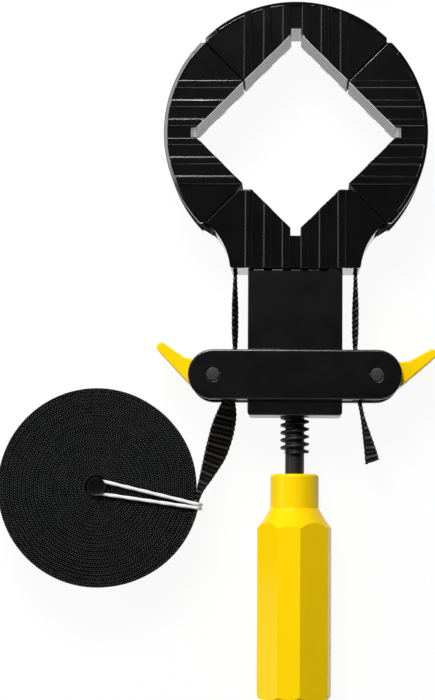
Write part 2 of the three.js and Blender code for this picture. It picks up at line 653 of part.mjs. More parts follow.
function thread(rootRadius, crestRadius, crestWidth, baseWidth, low, high) {
  const flank = (baseWidth - crestWidth) / 2;
  const profile = [
    [rootRadius, 0],
    [crestRadius, flank],
    [crestRadius, flank + crestWidth],
    [rootRadius, baseWidth],
  ];
  const turns = Math.ceil((high - low) / THREAD_PITCH) + 3;
  const steps = turns * THREAD_STEPS;
  const start = low - 2 * THREAD_PITCH - baseWidth / 2;
  const phase = (start + baseWidth / 2) / THREAD_PITCH;
  const position = [];
  const point = (radius, angle, y) => {
    position.push(radius * Math.sin(angle), y, MID_Z + radius * Math.cos(angle));
  };
  for (let i = 0; i <= steps; i += 1) {
    const angle = 2 * Math.PI * (i / THREAD_STEPS + phase);
    for (const [radius, rise] of profile) {
      point(radius, angle, start + (i / THREAD_STEPS) * THREAD_PITCH + rise);
    }
  }
  const size = profile.length;
  const at = (i, k) => i * size + k;
  const index = [];
  const quad = (a, b, c, d) => index.push(a, b, c, a, c, d);
  for (let i = 0; i < steps; i += 1) {
    for (let k = 0; k < size - 1; k += 1) {
      quad(at(i, k), at(i + 1, k), at(i + 1, k + 1), at(i, k + 1));
    }
    const above = i + THREAD_STEPS;
    if (above < steps) {
      quad(at(i, size - 1), at(i + 1, size - 1), at(above + 1, 0), at(above, 0));
    }
  }
  const bottom = position.length / 3;
  point(0, 0, start - THREAD_PITCH);
  point(0, 0, start + (turns + 1) * THREAD_PITCH);
  const fan = (apex, ring) => {
    for (let i = 0; i < ring.length; i += 1) {
      index.push(apex, ring[(i + 1) % ring.length], ring[i]);
    }
  };
  const range = (from, to) => Array.from({ length: to - from + 1 }, (_, i) => from + i);
  const firstTurn = range(0, THREAD_STEPS).map((i) => at(i, 0));
  const lastTurn = range(steps - THREAD_STEPS, steps).map((i) => at(i, size - 1));
  fan(bottom, [...firstTurn, ...range(1, size - 1).reverse().map((k) => at(0, k))]);
  fan(bottom + 1, [...lastTurn.reverse(), ...range(0, size - 2).map((k) => at(steps, k))]);
  const geometry = new THREE.BufferGeometry();
  geometry.setAttribute('position', new THREE.Float32BufferAttribute(position, 3));
  geometry.setIndex(index);
  return solid(geometry).intersect(rodAlongY(2 * crestRadius, low, high, 12));
}

function spindle() {
  const screw = thread(
    THREAD_ROOT_RADIUS,
    THREAD_RADIUS,
    THREAD_CREST_WIDTH,
    THREAD_BASE_WIDTH,
    THREAD_BOTTOM_Y,
    THREAD_TOP_Y,
  );
  const tip = turnedAlongY([
    [0, THREAD_TOP_Y - 1],
    [TIP_NECK_RADIUS, THREAD_TOP_Y - 1],
    [TIP_NECK_RADIUS, BUTTON_BOTTOM_Y],
    [BUTTON_RADIUS, BUTTON_BOTTOM_Y],
    [BUTTON_RADIUS, BUTTON_TOP_Y],
    [0, BUTTON_TOP_Y],
  ], 24);
  const shank = rodAlongY(SHANK_RADIUS, HANDLE_TOP_Y - 2, THREAD_BOTTOM_Y + 1);
  const tang = rodAlongY(SHANK_RADIUS, HANDLE_TOP_Y - TANG_LENGTH, HANDLE_TOP_Y - 1, 6);
  return joined(screw, tip, shank, tang);
}

function spindleNut() {
  const low = NUT_FLOOR_Y + CLEARANCE;
  const high = low + NUT_HEIGHT;
  const body = block(
    -NUT_HALF_WIDTH,
    NUT_HALF_WIDTH,
    low,
    high,
    MID_Z - NUT_THICKNESS / 2,
    MID_Z + NUT_THICKNESS / 2,
  );
  const room = thread(
    THREAD_ROOT_RADIUS + THREAD_CLEARANCE,
    THREAD_RADIUS + THREAD_CLEARANCE,
    THREAD_CREST_WIDTH + 2 * THREAD_CLEARANCE,
    THREAD_BASE_WIDTH + 2 * THREAD_CLEARANCE,
    low - 1,
    high + 1,
  );
  return cut(body, room);
}

function thrustWasher() {
  return rodAlongY(BUTTON_RADIUS, WASHER_BOTTOM_Y, WASHER_BOTTOM_Y + WASHER_HEIGHT);
}

// Handle: an eight-sided grip whose faces arch where they run out into a round collar

function gripOutline() {
  const [wide, narrow] = [HANDLE_WIDE_FACE, HANDLE_NARROW_FACE];
  const across = narrow * Math.SQRT2 - wide;
  const outline = new THREE.Shape();
  for (let quarter = 0; quarter < 4; quarter += 1) {
    const first = turned(wide, -across, 90 * quarter + 45 + HANDLE_TURN);
    const second = turned(wide, across, 90 * quarter + 45 + HANDLE_TURN);
    outline[quarter === 0 ? 'moveTo' : 'lineTo'](first.x, first.y);
    outline.lineTo(second.x, second.y);
  }
  return outline;
}

function handle() {
  const corner = Math.hypot(HANDLE_WIDE_FACE, HANDLE_NARROW_FACE * Math.SQRT2 - HANDLE_WIDE_FACE);
  const bottom = HANDLE_TOP_Y - HANDLE_LENGTH;
  const flareTop = HANDLE_TOP_Y - HANDLE_COLLAR_LENGTH;
  const edge = HANDLE_EDGE_RADIUS;
  const form = turnedAlongY([
    [0, bottom],
    [corner - 1.5 * edge, bottom],
    [corner - 0.5 * edge, bottom + 0.6 * edge],
    [corner, bottom + 2 * edge],
    [corner, flareTop - HANDLE_FLARE_LENGTH],
    [HANDLE_COLLAR_RADIUS, flareTop],
    [HANDLE_COLLAR_RADIUS, HANDLE_TOP_Y - edge],
    [HANDLE_COLLAR_RADIUS - 0.3 * edge, HANDLE_TOP_Y - 0.3 * edge],
    [HANDLE_COLLAR_RADIUS - edge, HANDLE_TOP_Y],
    [0, HANDLE_TOP_Y],
  ], 24);
  const grip = new THREE.ExtrudeGeometry(gripOutline(), {
    depth: HANDLE_LENGTH + 2,
    bevelEnabled: false,
  });
  grip.rotateX(-Math.PI / 2).translate(0, bottom - 1, MID_Z);
  const socketFloor = HANDLE_TOP_Y - TANG_LENGTH - CLEARANCE;
  const tangRoom = SHANK_RADIUS + CLEARANCE / Math.cos(Math.PI / 6);
  const socket = rodAlongY(tangRoom, socketFloor, HANDLE_TOP_Y + 1, 6);
  const collarRoom = rodAlongY(SHANK_RADIUS + BORE_CLEARANCE, HANDLE_TOP_Y - 2.5, HANDLE_TOP_Y + 1);
  return cut(form.intersect(solid(grip)), socket, collarRoom);
}

// Cam lever, drawn about its pivot as the left one stands when it grips

function leverOutline() {
  const [tipX, tipY] = LEVER_TIP;
  const outline = new THREE.Shape();
  outline.moveTo(...LEVER_LOWER_BEND);
  outline.lineTo(0, -LEVER_HUB_RADIUS);
  outline.lineTo(0.65 * CAM_REACH, -LEVER_HUB_RADIUS + 0.4);
  outline.lineTo(CAM_REACH, CAM_FACE_BOTTOM);
  const step = (CAM_FACE_TOP - CAM_FACE_BOTTOM) / CAM_TEETH;
  for (let i = 0; i < CAM_TEETH; i += 1) {
    const y = CAM_FACE_BOTTOM + i * step;
    outline.lineTo(CAM_REACH - CAM_TOOTH_DEPTH, y + step / 2);
    outline.lineTo(CAM_REACH, y + step);
  }
  outline.lineTo(0.75 * CAM_REACH, 0.65 * LEVER_HUB_RADIUS);
  outline.absarc(0, 0, LEVER_HUB_RADIUS, degrees(50), degrees(110), false);
  outline.quadraticCurveTo(-9.4, 5.5, ...LEVER_UPPER_BEND);
  const upward = Math.atan2(tipY - LEVER_UPPER_BEND[1], tipX - LEVER_UPPER_BEND[0]);
  const downward = Math.atan2(tipY - LEVER_LOWER_BEND[1], tipX - LEVER_LOWER_BEND[0]);
  const [from, to] = [upward - Math.PI / 2, downward + Math.PI / 2];
  outline.absarc(tipX, tipY, LEVER_TIP_RADIUS, from, to, false);
  return outline;
}

function lever() {
  const [low, high] = [MID_Z - LEVER_WIDTH / 2, MID_Z + LEVER_WIDTH / 2];
  const pocketDepth = SPRING_TURNS * SPRING_PITCH + 2 * SPRING_WIRE_RADIUS + CLEARANCE;
  const pocket = rodAlongZ(0, 0, SPRING_POCKET_RADIUS, low - 1, low + pocketDepth, 20);
  const bore = rodAlongZ(0, 0, PIN_RADIUS + BORE_CLEARANCE, low - 1, high + 1, 20);
  return cut(prism(leverOutline(), low, high, 10), pocket, bore);
}

function springLine() {
  const steps = SPRING_TURNS * 8;
  const low = MID_Z - LEVER_WIDTH / 2 + SPRING_WIRE_RADIUS;
  return Array.from({ length: steps + 1 }, (_, i) => {
    const angle = (2 * Math.PI * i) / 8;
    return new THREE.Vector3(
      SPRING_RADIUS * Math.cos(angle),
      SPRING_RADIUS * Math.sin(angle),
      low + (SPRING_PITCH * i) / 8,
    );
  });
}

// A round wire along a line of points, open or closed on itself, with outward as each section's first side.
function wire(line, radius, sides, outward, closed = false) {
  const last = line.length - 1;
  const rings = line.map((at, i) => {
    const before = i > 0 ? line[i - 1] : line[closed ? last : 0];
    const after = i < last ? line[i + 1] : line[closed ? 0 : last];
    const along = after.clone().sub(before).normalize();
    const normal = outward(at);
    normal.addScaledVector(along, -normal.dot(along)).normalize();
    const across = new THREE.Vector3().crossVectors(along, normal);
    return Array.from({ length: sides }, (_, k) => {
      const angle = (2 * Math.PI * k) / sides;
      return at.clone()
        .addScaledVector(normal, radius * Math.cos(angle))
        .addScaledVector(across, -radius * Math.sin(angle));
    });
  });
  return loft(rings, closed);
}

// Band on the jaws, between them and through the head and the cams

function bandWrap() {
  const away = LINK_REACH / BAND_RADIUS;
  const outline = ringSector(
    BAND_RADIUS - BAND_THICKNESS / 2,
    BAND_RADIUS + BAND_THICKNESS / 2,
    Math.PI / 4 + away,
    (3 * Math.PI) / 4 - away,
  );
  return prism(outline, MID_Z - BAND_WIDTH / 2, MID_Z + BAND_WIDTH / 2, RIM_STEPS);
}

// The short piece across the joint between two corner jaws, drawn for the one at 45 degrees.
function bandLink() {
  const half = LINK_REACH - CLEARANCE;
  const middle = new THREE.Vector2(1, 1).multiplyScalar(Math.SQRT1_2 * BAND_RADIUS);
  const along = new THREE.Vector2(-1, 1).multiplyScalar(Math.SQRT1_2 * half);
  return bandStrip([
    station(middle.x - along.x, middle.y - along.y),
    station(middle.x + along.x, middle.y + along.y),
  ]);
}

function headLinkStations() {
  const [first, entry] = [loopEnd(-LINK_REACH + CLEARANCE), guidePoints()[0]];
  const joint = loopEnd(0);
  const back = entry.at.clone().sub(new THREE.Vector3(joint.x, joint.y, MID_Z)).setLength(CLEARANCE);
  const last = entry.at.clone().sub(back);
  return [station(first.x, first.y), station(joint.x, joint.y), station(last.x, last.y)];
}

function bandRunStations() {
  const joint = loopEnd(0);
  const full = runStations(BAND_PINCH_Y, [station(joint.x, joint.y)]);
  const entry = guidePoints()[0].at;
  const started = full.findIndex(({ at }) => at.y < entry.y);
  return [station(entry.x, entry.y), ...full.slice(started + 1)];
}

// Free ends of the band: chosen points of the middle line with the lean of the strip there.
// The lead also sinks, by a share of the way from the clamp's middle plane to the coil's.

const leadStation = (x, y, sunk, lean) => station(x, y, THREE.MathUtils.lerp(MID_Z, COIL_MID_Z, sunk), lean);
const BAND_LEAD_POINTS = [
  station(-BAND_RUN_X, BAND_PINCH_Y - CLEARANCE),
  leadStation(-28.2, -8.3, 0, 3),
  leadStation(-29.8, -11.6, 0.1, 10.5),
  leadStation(-31.1, -17.7, 0.3, 19),
  leadStation(-32.8, -24.3, 0.55, 23),
  leadStation(-34.1, -29.3, 0.7, 23),
  leadStation(-36.2, -36, 0.85, 21),
  leadStation(-39.8, -44.8, 0.95, 12),
  leadStation(-43.2, -52.6, 1, 3),
];
// The tail's places are shares of its length, of its sway to the side and of its sag.
const tailStation = (along, sway, sag, lean) => station(
  BAND_RUN_X + sway * TAIL_SWAY,
  BAND_PINCH_Y - CLEARANCE - along * TAIL_LENGTH,
  MID_Z - sag * TAIL_SAG,
  lean,
);
const BAND_TAIL_POINTS = [
  tailStation(0, 0, 0, 0),
  tailStation(0.08, 0.1, 0, 0),
  tailStation(0.17, 0.25, 0, 0),
  tailStation(0.33, 0.39, 0.1, 0),
  tailStation(0.49, 0.54, 0.25, -2),
  tailStation(0.68, 0.73, 0.5, -6),
  tailStation(0.84, 0.88, 0.75, -9),
  tailStation(1, 1, 1, -11),
];

function coilStations() {
  const steps = Math.round(COIL_TURNS * COIL_STEPS_PER_TURN);
  return Array.from({ length: steps + 1 }, (_, i) => {
    const turn = i / COIL_STEPS_PER_TURN;
    const angle = degrees(COIL_START_ANGLE) - 2 * Math.PI * turn;
    const radius = COIL_OUTER_RADIUS - COIL_PITCH * turn;
    return station(
      COIL_CENTRE[0] + radius * Math.cos(angle),
      COIL_CENTRE[1] + radius * Math.sin(angle),
      COIL_MID_Z,
    );
  });
}

function leadStations() {
  const coilStart = coilStations()[0].at;
  const along = turned(0, -1, COIL_START_ANGLE);
  const meet = coilStart.clone().sub(new THREE.Vector3(along.x, along.y, 0).setLength(CLEARANCE));
  return smoothStations([...BAND_LEAD_POINTS, station(meet.x, meet.y, meet.z)], 27);
}

// Peg in the coil's middle with a head at each end, under which the elastic hooks

function coilPeg() {
  const coilHigh = COIL_LOW_Z + BAND_WIDTH;
  const elasticRoom = 2 * ELASTIC_RADIUS + 2 * CLEARANCE;
  const [rearHead, frontHead] = [COIL_LOW_Z - elasticRoom, coilHigh + elasticRoom];
  const neck = rodAlongZ(0, 0, PEG_NECK_RADIUS, rearHead - 0.1, frontHead + 0.1, 12);
  const body = rodAlongZ(0, 0, PEG_RADIUS, COIL_LOW_Z, coilHigh, 16);
  const rear = rodAlongZ(0, 0, PEG_HEAD_RADIUS, rearHead - PEG_HEAD_HEIGHT, rearHead);
  const front = rodAlongZ(0, 0, PEG_HEAD_RADIUS, frontHead, frontHead + PEG_HEAD_HEIGHT);
  return joined(neck, body, rear, front);
}

// The elastic is one ring of cord: round the peg in front, over the coil's edge, and round the peg behind.
function elasticLine() {
  const coilHigh = COIL_LOW_Z + BAND_WIDTH;
  const [front, rear] = [coilHigh + CLEARANCE + ELASTIC_RADIUS, COIL_LOW_Z - CLEARANCE - ELASTIC_RADIUS];
  const hug = PEG_NECK_RADIUS + CLEARANCE + ELASTIC_RADIUS;
  const edge = COIL_OUTER_RADIUS + BAND_THICKNESS / 2 + CLEARANCE + ELASTIC_RADIUS;
  const bend = 1.2;
  const half = ELASTIC_STRAND_SPACING / 2;
  const round = [70, 108, 144, 180, 216, 252, 290];
  const pegArc = (z) => round.map((angle) => [...turned(hug, 0, angle).toArray(), z]);
  const shares = [0.25, 0.5, 0.75];
  const strand = (side, z) => shares.map((share) => [
    share * (edge - bend),
    side * THREE.MathUtils.lerp(hug, half, share),
    z,
  ]);
  const corner = (side) => [
    [edge - bend, side * half, front],
    [edge - 0.3 * bend, side * half, front - 0.3 * bend],
    [edge, side * half, front - bend],
    [edge, side * half, (front + rear) / 2],
    [edge, side * half, rear + bend],
    [edge - 0.3 * bend, side * half, rear + 0.3 * bend],
    [edge - bend, side * half, rear],
  ];
  const path = [
    ...pegArc(front),
    ...strand(-1, front),
    ...corner(-1),
    ...strand(-1, rear).reverse(),
    ...pegArc(rear).reverse(),
    ...strand(1, rear),
    ...corner(1).reverse(),
    ...strand(1, front).reverse(),
  ];
  return path.map(([x, y, z]) => {
    const flat = turned(x, y, ELASTIC_HOOK_ANGLE);
    return new THREE.Vector3(flat.x + COIL_CENTRE[0], flat.y + COIL_CENTRE[1], z);
  });
}

function elasticTie() {
  const line = elasticLine();
  const middle = new THREE.Box3().setFromPoints(line).getCenter(new THREE.Vector3());
  return wire(line, ELASTIC_RADIUS, ELASTIC_SIDES, (at) => at.clone().sub(middle), true);
}

// Finishes
const FINISH = {
  blackPlastic: { color: 0x17181a, roughness: 0.5, metalness: 0 },
  yellowPlastic: { color: 0xf6cf0a, roughness: 0.35, metalness: 0 },
  blackSteel: { color: 0x1b1b1d, roughness: 0.4, metalness: 0.6 },
  greySteel: { color: 0x4a4a4c, roughness: 0.45, metalness: 0.7 },
  brightSteel: { color: 0xb9bcc0, roughness: 0.3, metalness: 1 },
  brass: { color: 0xb08d3f, roughness: 0.35, metalness: 1 },
  webbing: { color: 0x121214, roughness: 0.85, metalness: 0 },
  elastic: { color: 0xf0f0ee, roughness: 0.7, metalness: 0 },
};

const clamp = new THREE.Group();

function place(name, shape, finish, position = [0, 0, 0], angle = 0) {
  const geometry = shape.isBufferGeometry ? shape : geometryOf(shape);
  const mesh = new THREE.Mesh(geometry, new THREE.MeshStandardMaterial(FINISH[finish]));
  mesh.name = name;
  mesh.position.set(...position);
  mesh.rotation.z = degrees(angle);
  clamp.add(mesh);
}

place('housing_front_shell', housingShell(1), 'blackPlastic');
place('housing_rear_shell', housingShell(-1), 'blackPlastic');
SCREW_PLACES.forEach((spot, i) => place(`housing_screw_${i + 1}`, housingScrew(spot), 'brightSteel'));
place('spindle_nut', spindleNut(), 'brass');
place('spindle', spindle(), 'blackSteel');
place('thrust_washer', thrustWasher(), 'brightSteel');
place('handle', handle(), 'yellowPlastic');
place('head_jaw', headJaw(), 'blackPlastic');

const ringCentre = [0, RING_CENTRE_Y, 0];
const jaw = cornerJaw();
const wrap = bandWrap();
for (const [name, angle] of [['top', 0], ['left', 90], ['right', -90]]) {
  place(`corner_jaw_${name}`, jaw, 'blackPlastic', ringCentre, angle);
  place(`band_wrap_${name}`, wrap, 'webbing', ringCentre, angle);
}
place('band_link_top_right', bandLink(), 'webbing', ringCentre);
place('band_link_left_top', bandLink(), 'webbing', ringCentre, 90);

const levers = [
  { name: 'left', side: -1, angle: -LEVER_LEFT_LIFT },
  { name: 'right', side: 1, angle: 0 },
];
for (const { name, side, angle } of levers) {
  const shape = geometryOf(lever());
  const spring = wire(springLine(), SPRING_WIRE_RADIUS, 5, (at) => new THREE.Vector3(at.x, at.y, 0));
  if (side > 0) {
    shape.rotateY(Math.PI).translate(0, 0, CLAMP_DEPTH);
  }
  const springTurn = side > 0 ? spring.rotateY(Math.PI).translate(0, 0, CLAMP_DEPTH) : spring;
  place(`lever_${name}`, shape, 'yellowPlastic', [side * PIVOT_X, 0, 0], angle);
  place(`lever_spring_${name}`, springTurn, 'brightSteel', [side * PIVOT_X, 0, 0]);
  place(`pivot_pin_${name}`, pivotPin(side), 'greySteel');
  const link = side > 0 ? headLinkStations() : mirrored(headLinkStations());
  const run = side > 0 ? bandRunStations() : mirrored(bandRunStations());
  place(`band_link_head_${name}`, bandStrip(link), 'webbing');
  place(`band_run_${name}`, bandStrip(run), 'webbing');
}

place('band_lead', bandStrip(leadStations()), 'webbing');
place('band_coil', bandStrip(coilStations()), 'webbing');
place('band_tail', bandStrip(smoothStations(BAND_TAIL_POINTS, 16)), 'webbing');
place('coil_peg', coilPeg(), 'blackPlastic', [...COIL_CENTRE, 0]);
place('elastic_tie', elasticTie(), 'elastic');

const coilLine = coilStations().map(({ at }) => at);
const coilGap = leastGap(coilLine, COIL_STEPS_PER_TURN, BAND_THICKNESS);
console.log(`band coil: least gap to itself ${coilGap.toFixed(3)} mm`);
const springGap = leastGap(springLine(), 8, 2 * SPRING_WIRE_RADIUS);
console.log(`lever spring: least gap to itself ${springGap.toFixed(3)} mm`);

export default clamp;
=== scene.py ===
# Band clamp: the finished looks of its jaws, housing, levers, handle and webbing.
# Lengths are written in millimetres and turned into metres where a mesh is made.
import math

import bmesh
import bpy
from mathutils import Matrix, Vector, noise


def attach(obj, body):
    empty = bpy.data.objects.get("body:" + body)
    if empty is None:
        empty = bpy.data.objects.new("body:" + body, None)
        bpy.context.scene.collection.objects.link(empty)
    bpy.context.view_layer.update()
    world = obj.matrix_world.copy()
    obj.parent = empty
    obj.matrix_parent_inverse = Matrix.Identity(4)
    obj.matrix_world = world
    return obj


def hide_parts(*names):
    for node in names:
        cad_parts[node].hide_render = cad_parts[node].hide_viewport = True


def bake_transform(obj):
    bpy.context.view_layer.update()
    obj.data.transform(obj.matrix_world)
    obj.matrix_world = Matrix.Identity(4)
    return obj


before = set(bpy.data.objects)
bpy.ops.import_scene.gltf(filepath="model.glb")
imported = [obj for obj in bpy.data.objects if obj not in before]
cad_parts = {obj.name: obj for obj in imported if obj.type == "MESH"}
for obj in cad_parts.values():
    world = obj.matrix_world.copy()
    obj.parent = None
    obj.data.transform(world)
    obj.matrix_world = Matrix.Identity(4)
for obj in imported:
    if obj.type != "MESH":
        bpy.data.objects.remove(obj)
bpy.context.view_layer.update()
MM = 0.001

# Overall sizes and places, as the frame has them
CLAMP_DEPTH = 34.0
MID_Z = CLAMP_DEPTH / 2
CLEARANCE = 0.3
BAND_WIDTH = 25.0
BAND_THICKNESS = 1.35
RING_CENTRE_Y = 109.6
RING_RADIUS = 59.7
CHANNEL_DEPTH = 2.3
BAND_RADIUS = RING_RADIUS - CHANNEL_DEPTH + CLEARANCE + BAND_THICKNESS / 2
LINK_REACH = 1.2
LOOP_TRAVEL = 40.0
BAND_RUN_X = 27.4
BAND_PINCH_Y = -5.5
PIVOT_X = 36.9
SPINDLE_PLACE = (0, 0, MID_Z)
SPINDLE_AXIS = (0, 1, 0)

# How near two places lie that count as one, in millimetres
SAME_LEVEL = 0.02
SOLID_MERGE = 0.02
THREAD_MERGE = 0.01
PIECE_MERGE = 0.002
CUT_MERGE = 0.0001
SEAM_MERGE = 0.00001
LEAST_SPAN = 1e-9

# Camera, from the photograph's frame of 435 by 700 pixels
PHOTO_HEIGHT = 700
FRONT_MM_PER_PIXEL = 0.4493
CAMERA_PLACE = (1.35, -69.75, 1169.0)
CAMERA_AIM = (-34.8, 10.8, CLAMP_DEPTH)
CAMERA_ROLL = 0.34
CAMERA_CLIP = (0.01, 30.0)
SENSOR_WIDTH = 36.0


def metres(*values):
    return Vector(values) * MM


def add_camera():
    place, aim = metres(*CAMERA_PLACE), metres(*CAMERA_AIM)
    forward = (aim - place).normalized()
    right = forward.cross(Vector((0, 1, 0))).normalized()
    up = right.cross(forward)
    turn = Matrix((right, up, -forward)).transposed().to_4x4()
    camera = bpy.data.cameras.new("photo_camera")
    half_height = PHOTO_HEIGHT / 2 * FRONT_MM_PER_PIXEL * MM
    camera.sensor_width = SENSOR_WIDTH
    camera.lens = SENSOR_WIDTH / 2 * (aim - place).length / half_height
    camera.clip_start, camera.clip_end = CAMERA_CLIP
    view = bpy.data.objects.new("photo_camera", camera)
    roll = Matrix.Rotation(math.radians(CAMERA_ROLL), 4, "Z")
    view.matrix_world = Matrix.Translation(place) @ turn @ roll
    bpy.context.scene.collection.objects.link(view)
    bpy.context.scene.camera = view


# Shader maths


class Value:
    """One output of a finish's nodes. Arithmetic on it adds Math nodes."""

    def __init__(self, finish, socket):
        self.finish = finish
        self.socket = socket

    def math(self, operation, *terms):
        sockets = dict(enumerate(terms))
        return self.finish.node("ShaderNodeMath", {"operation": operation}, sockets)

    def __add__(self, other):
        return self.math("ADD", self, other)

    def __radd__(self, other):
        return self.math("ADD", other, self)

    def __sub__(self, other):
        return self.math("SUBTRACT", self, other)

    def __rsub__(self, other):
        return self.math("SUBTRACT", other, self)

    def __mul__(self, other):
        return self.math("MULTIPLY", self, other)

    def __rmul__(self, other):
        return self.math("MULTIPLY", other, self)

    def __truediv__(self, other):
        return self.math("DIVIDE", self, other)

    def __pow__(self, other):
        return self.math("POWER", self, other)

    def cosine(self):
        return self.math("COSINE", self)

    def size(self):
        return self.math("ABSOLUTE", self)

    def above(self, other):
        return self.math("MAXIMUM", self, other)

    def wave(self, pitch):
        """1 on each crest and 0 in each trough, a pitch apart."""
        return 0.5 + 0.5 * (self * (2 * math.pi / pitch)).cosine()

    def between(self, low, high):
        """0 below low, 1 above high, and smooth between them."""
        settings = {"interpolation_type": "SMOOTHSTEP"}
        sockets = {"Value": self, "From Min": low, "From Max": high}
        return self.finish.node("ShaderNodeMapRange", settings, sockets)


class Finish:
    """A material with one Principled shader."""

    def __init__(self, name, **constants):
        self.material = bpy.data.materials.new(name)
        self.material.use_nodes = True
        self.tree = self.material.node_tree
        self.tree.nodes.clear()
        self.shader = self.tree.nodes.new("ShaderNodeBsdfPrincipled")
        output = self.tree.nodes.new("ShaderNodeOutputMaterial")
        self.tree.links.new(self.shader.outputs[0], output.inputs["Surface"])
        for key, value in constants.items():
            self.shader.inputs[key.replace("_", " ")].default_value = value

    def node(self, kind, settings, sockets, output=0):
        made = self.tree.nodes.new(kind)
        for key, value in settings.items():
            setattr(made, key, value)
        for key, value in sockets.items():
            if isinstance(value, Value):
                self.tree.links.new(value.socket, made.inputs[key])
            else:
                made.inputs[key].default_value = value
        return Value(self, made.outputs[output])

    def place(self):
        return self.node("ShaderNodeTexCoord", {}, {}, "Object")

    def apart(self, where):
        """The three coordinates of a place, in metres."""
        split = self.node("ShaderNodeSeparateXYZ", {}, {"Vector": where})
        return [Value(self, socket) for socket in split.socket.node.outputs]

    def weave_place(self):
        """The band's own coordinates: across its width and along its length, in metres."""
        across, along, _ = self.apart(self.node("ShaderNodeUVMap", {"uv_map": "weave"}, {}))
        return across, along

    def noise(self, where, size, detail=2.0, roughness=0.5):
        """Cloudy noise whose blotches are about a size across, in millimetres."""
        sockets = {"Vector": where, "Scale": 1 / (size * MM)}
        sockets |= {"Detail": detail, "Roughness": roughness}
        return self.node("ShaderNodeTexNoise", {}, sockets)

    def colours(self, share, first, second):
        """A mix of two colours, the second by a share of 0 to 1."""
        ends = [end if isinstance(end, Value) else (*end, 1) for end in (first, second)]
        sockets = {0: share, 6: ends[0], 7: ends[1]}
        return self.node("ShaderNodeMix", {"data_type": "RGBA"}, sockets, 2)

    def feed(self, **sockets):
        for key, value in sockets.items():
            self.tree.links.new(value.socket, self.shader.inputs[key.replace("_", " ")])

    def bumps(self, height, depth, strength=1.0):
        """Feeds the normal with a height of 0 to 1 that stands for a depth in millimetres."""
        sockets = {"Strength": strength, "Distance": depth * MM, "Height": height}
        self.feed(Normal=self.node("ShaderNodeBump", {}, sockets))


# Finishes


BLACK_CLOUD = 14.0
BLACK_GRAIN = 0.55
LIP_WIDTH = 1.6
LIP_FALL = 0.58
JOINT_FACE = 0.71
JOINT_FADE = (JOINT_FACE + 0.04, JOINT_FACE + 0.2)
JOINT_ROUGHNESS = 0.65
RING_FADE = 0.5


def jaw_black():
    """The jaws' smoother plastic: dull end faces at the joints, and a lip that slopes outwards."""
    finish = Finish("jaw_black", Specular_IOR_Level=0.8)
    where = finish.place()
    cloud = finish.noise(where, BLACK_CLOUD, 3.0)
    grain = finish.noise(where, BLACK_GRAIN, 2.0)
    x, y, _ = finish.apart(where)
    up = y - RING_CENTRE_Y * MM
    reach = (x * x + up * up) ** 0.5
    joint = 1.0 - (x.size() - up.size()).size().between(*[edge * MM for edge in JOINT_FADE])
    tone = finish.colours(cloud, (0.002, 0.0021, 0.0023), (0.0036, 0.0037, 0.004))
    finish.feed(Base_Color=tone, Roughness=(0.105 + 0.05 * cloud).above(JOINT_ROUGHNESS * joint))
    on_ring = (up + x.size()).between(0.0, RING_FADE * MM)
    slope = on_ring * (reach - (RING_RADIUS - LIP_WIDTH) * MM).above(0.0) * (LIP_FALL / MM)
    finish.bumps(0.004 * grain - slope, 1.0)
    return finish.material


def moulded_black():
    """The housing's satin plastic, with faint scuffs."""
    finish = Finish("moulded_black", Specular_IOR_Level=0.5)
    where = finish.place()
    cloud = finish.noise(where, BLACK_CLOUD, 3.0)
    grain = finish.noise(where, BLACK_GRAIN, 2.0)
    scuff = finish.noise(where, 3.2, 6.0, 0.7).between(0.66, 0.78)
    tone = finish.colours(cloud, (0.0012, 0.0013, 0.0015), (0.0026, 0.0027, 0.003))
    worn = finish.colours(scuff * 0.3, tone, (0.009, 0.009, 0.0094))
    finish.feed(Base_Color=worn, Roughness=0.2 + 0.08 * cloud + 0.06 * scuff)
    finish.bumps(grain, 0.012, 0.35)
    return finish.material


def moulded_yellow():
    """The levers' and the handle's plastic, a little deeper where it is scuffed."""
    finish = Finish("moulded_yellow", Specular_IOR_Level=0.12)
    where = finish.place()
    cloud = finish.noise(where, 22.0, 3.0)
    grain = finish.noise(where, 0.8, 2.0)
    scuff = finish.noise(where, 2.2, 6.0, 0.75).between(0.68, 0.8)
    tone = finish.colours(cloud, (0.93, 0.6, 0.0018), (0.96, 0.64, 0.0026))
    worn = finish.colours(scuff * 0.2, tone, (0.88, 0.53, 0.003))
    finish.feed(Base_Color=worn, Roughness=0.2 + 0.06 * cloud + 0.08 * scuff)
    finish.bumps(grain, 0.01, 0.3)
    return finish.material


LATHE_PITCH = 0.32


def oxide_black():
    """Blackened steel with fine lathe marks, rubbed bare in spots."""
    finish = Finish("oxide_black", Specular_IOR_Level=0.5)
    where = finish.place()
    cloud = finish.noise(where, 5.0, 4.0)
    lathe = finish.apart(where)[1].wave(LATHE_PITCH * MM)
    worn = finish.noise(where, 1.4, 5.0, 0.7).between(0.6, 0.75)
    tone = finish.colours(cloud, (0.007, 0.007, 0.008), (0.014, 0.014, 0.015))
    finish.feed(
        Base_Color=finish.colours(worn * 0.4, tone, (0.045, 0.045, 0.047)),
        Metallic=0.25 + 0.3 * worn,
        Roughness=0.36 + 0.16 * cloud,
    )
    finish.bumps(lathe, 0.01, 0.25)
    return finish.material


def pin_grey():
    finish = Finish("pin_grey", Specular_IOR_Level=0.5)
    where = finish.place()
    cloud = finish.noise(where, 1.6, 4.0)
    speck = finish.noise(where, 0.35, 3.0)
    finish.feed(
        Base_Color=finish.colours(cloud, (0.014, 0.014, 0.0145), (0.03, 0.03, 0.031)),
        Metallic=0.2 + 0.2 * cloud,
        Roughness=0.4 + 0.2 * speck,
    )
    finish.bumps(speck, 0.02, 0.5)
    return finish.material


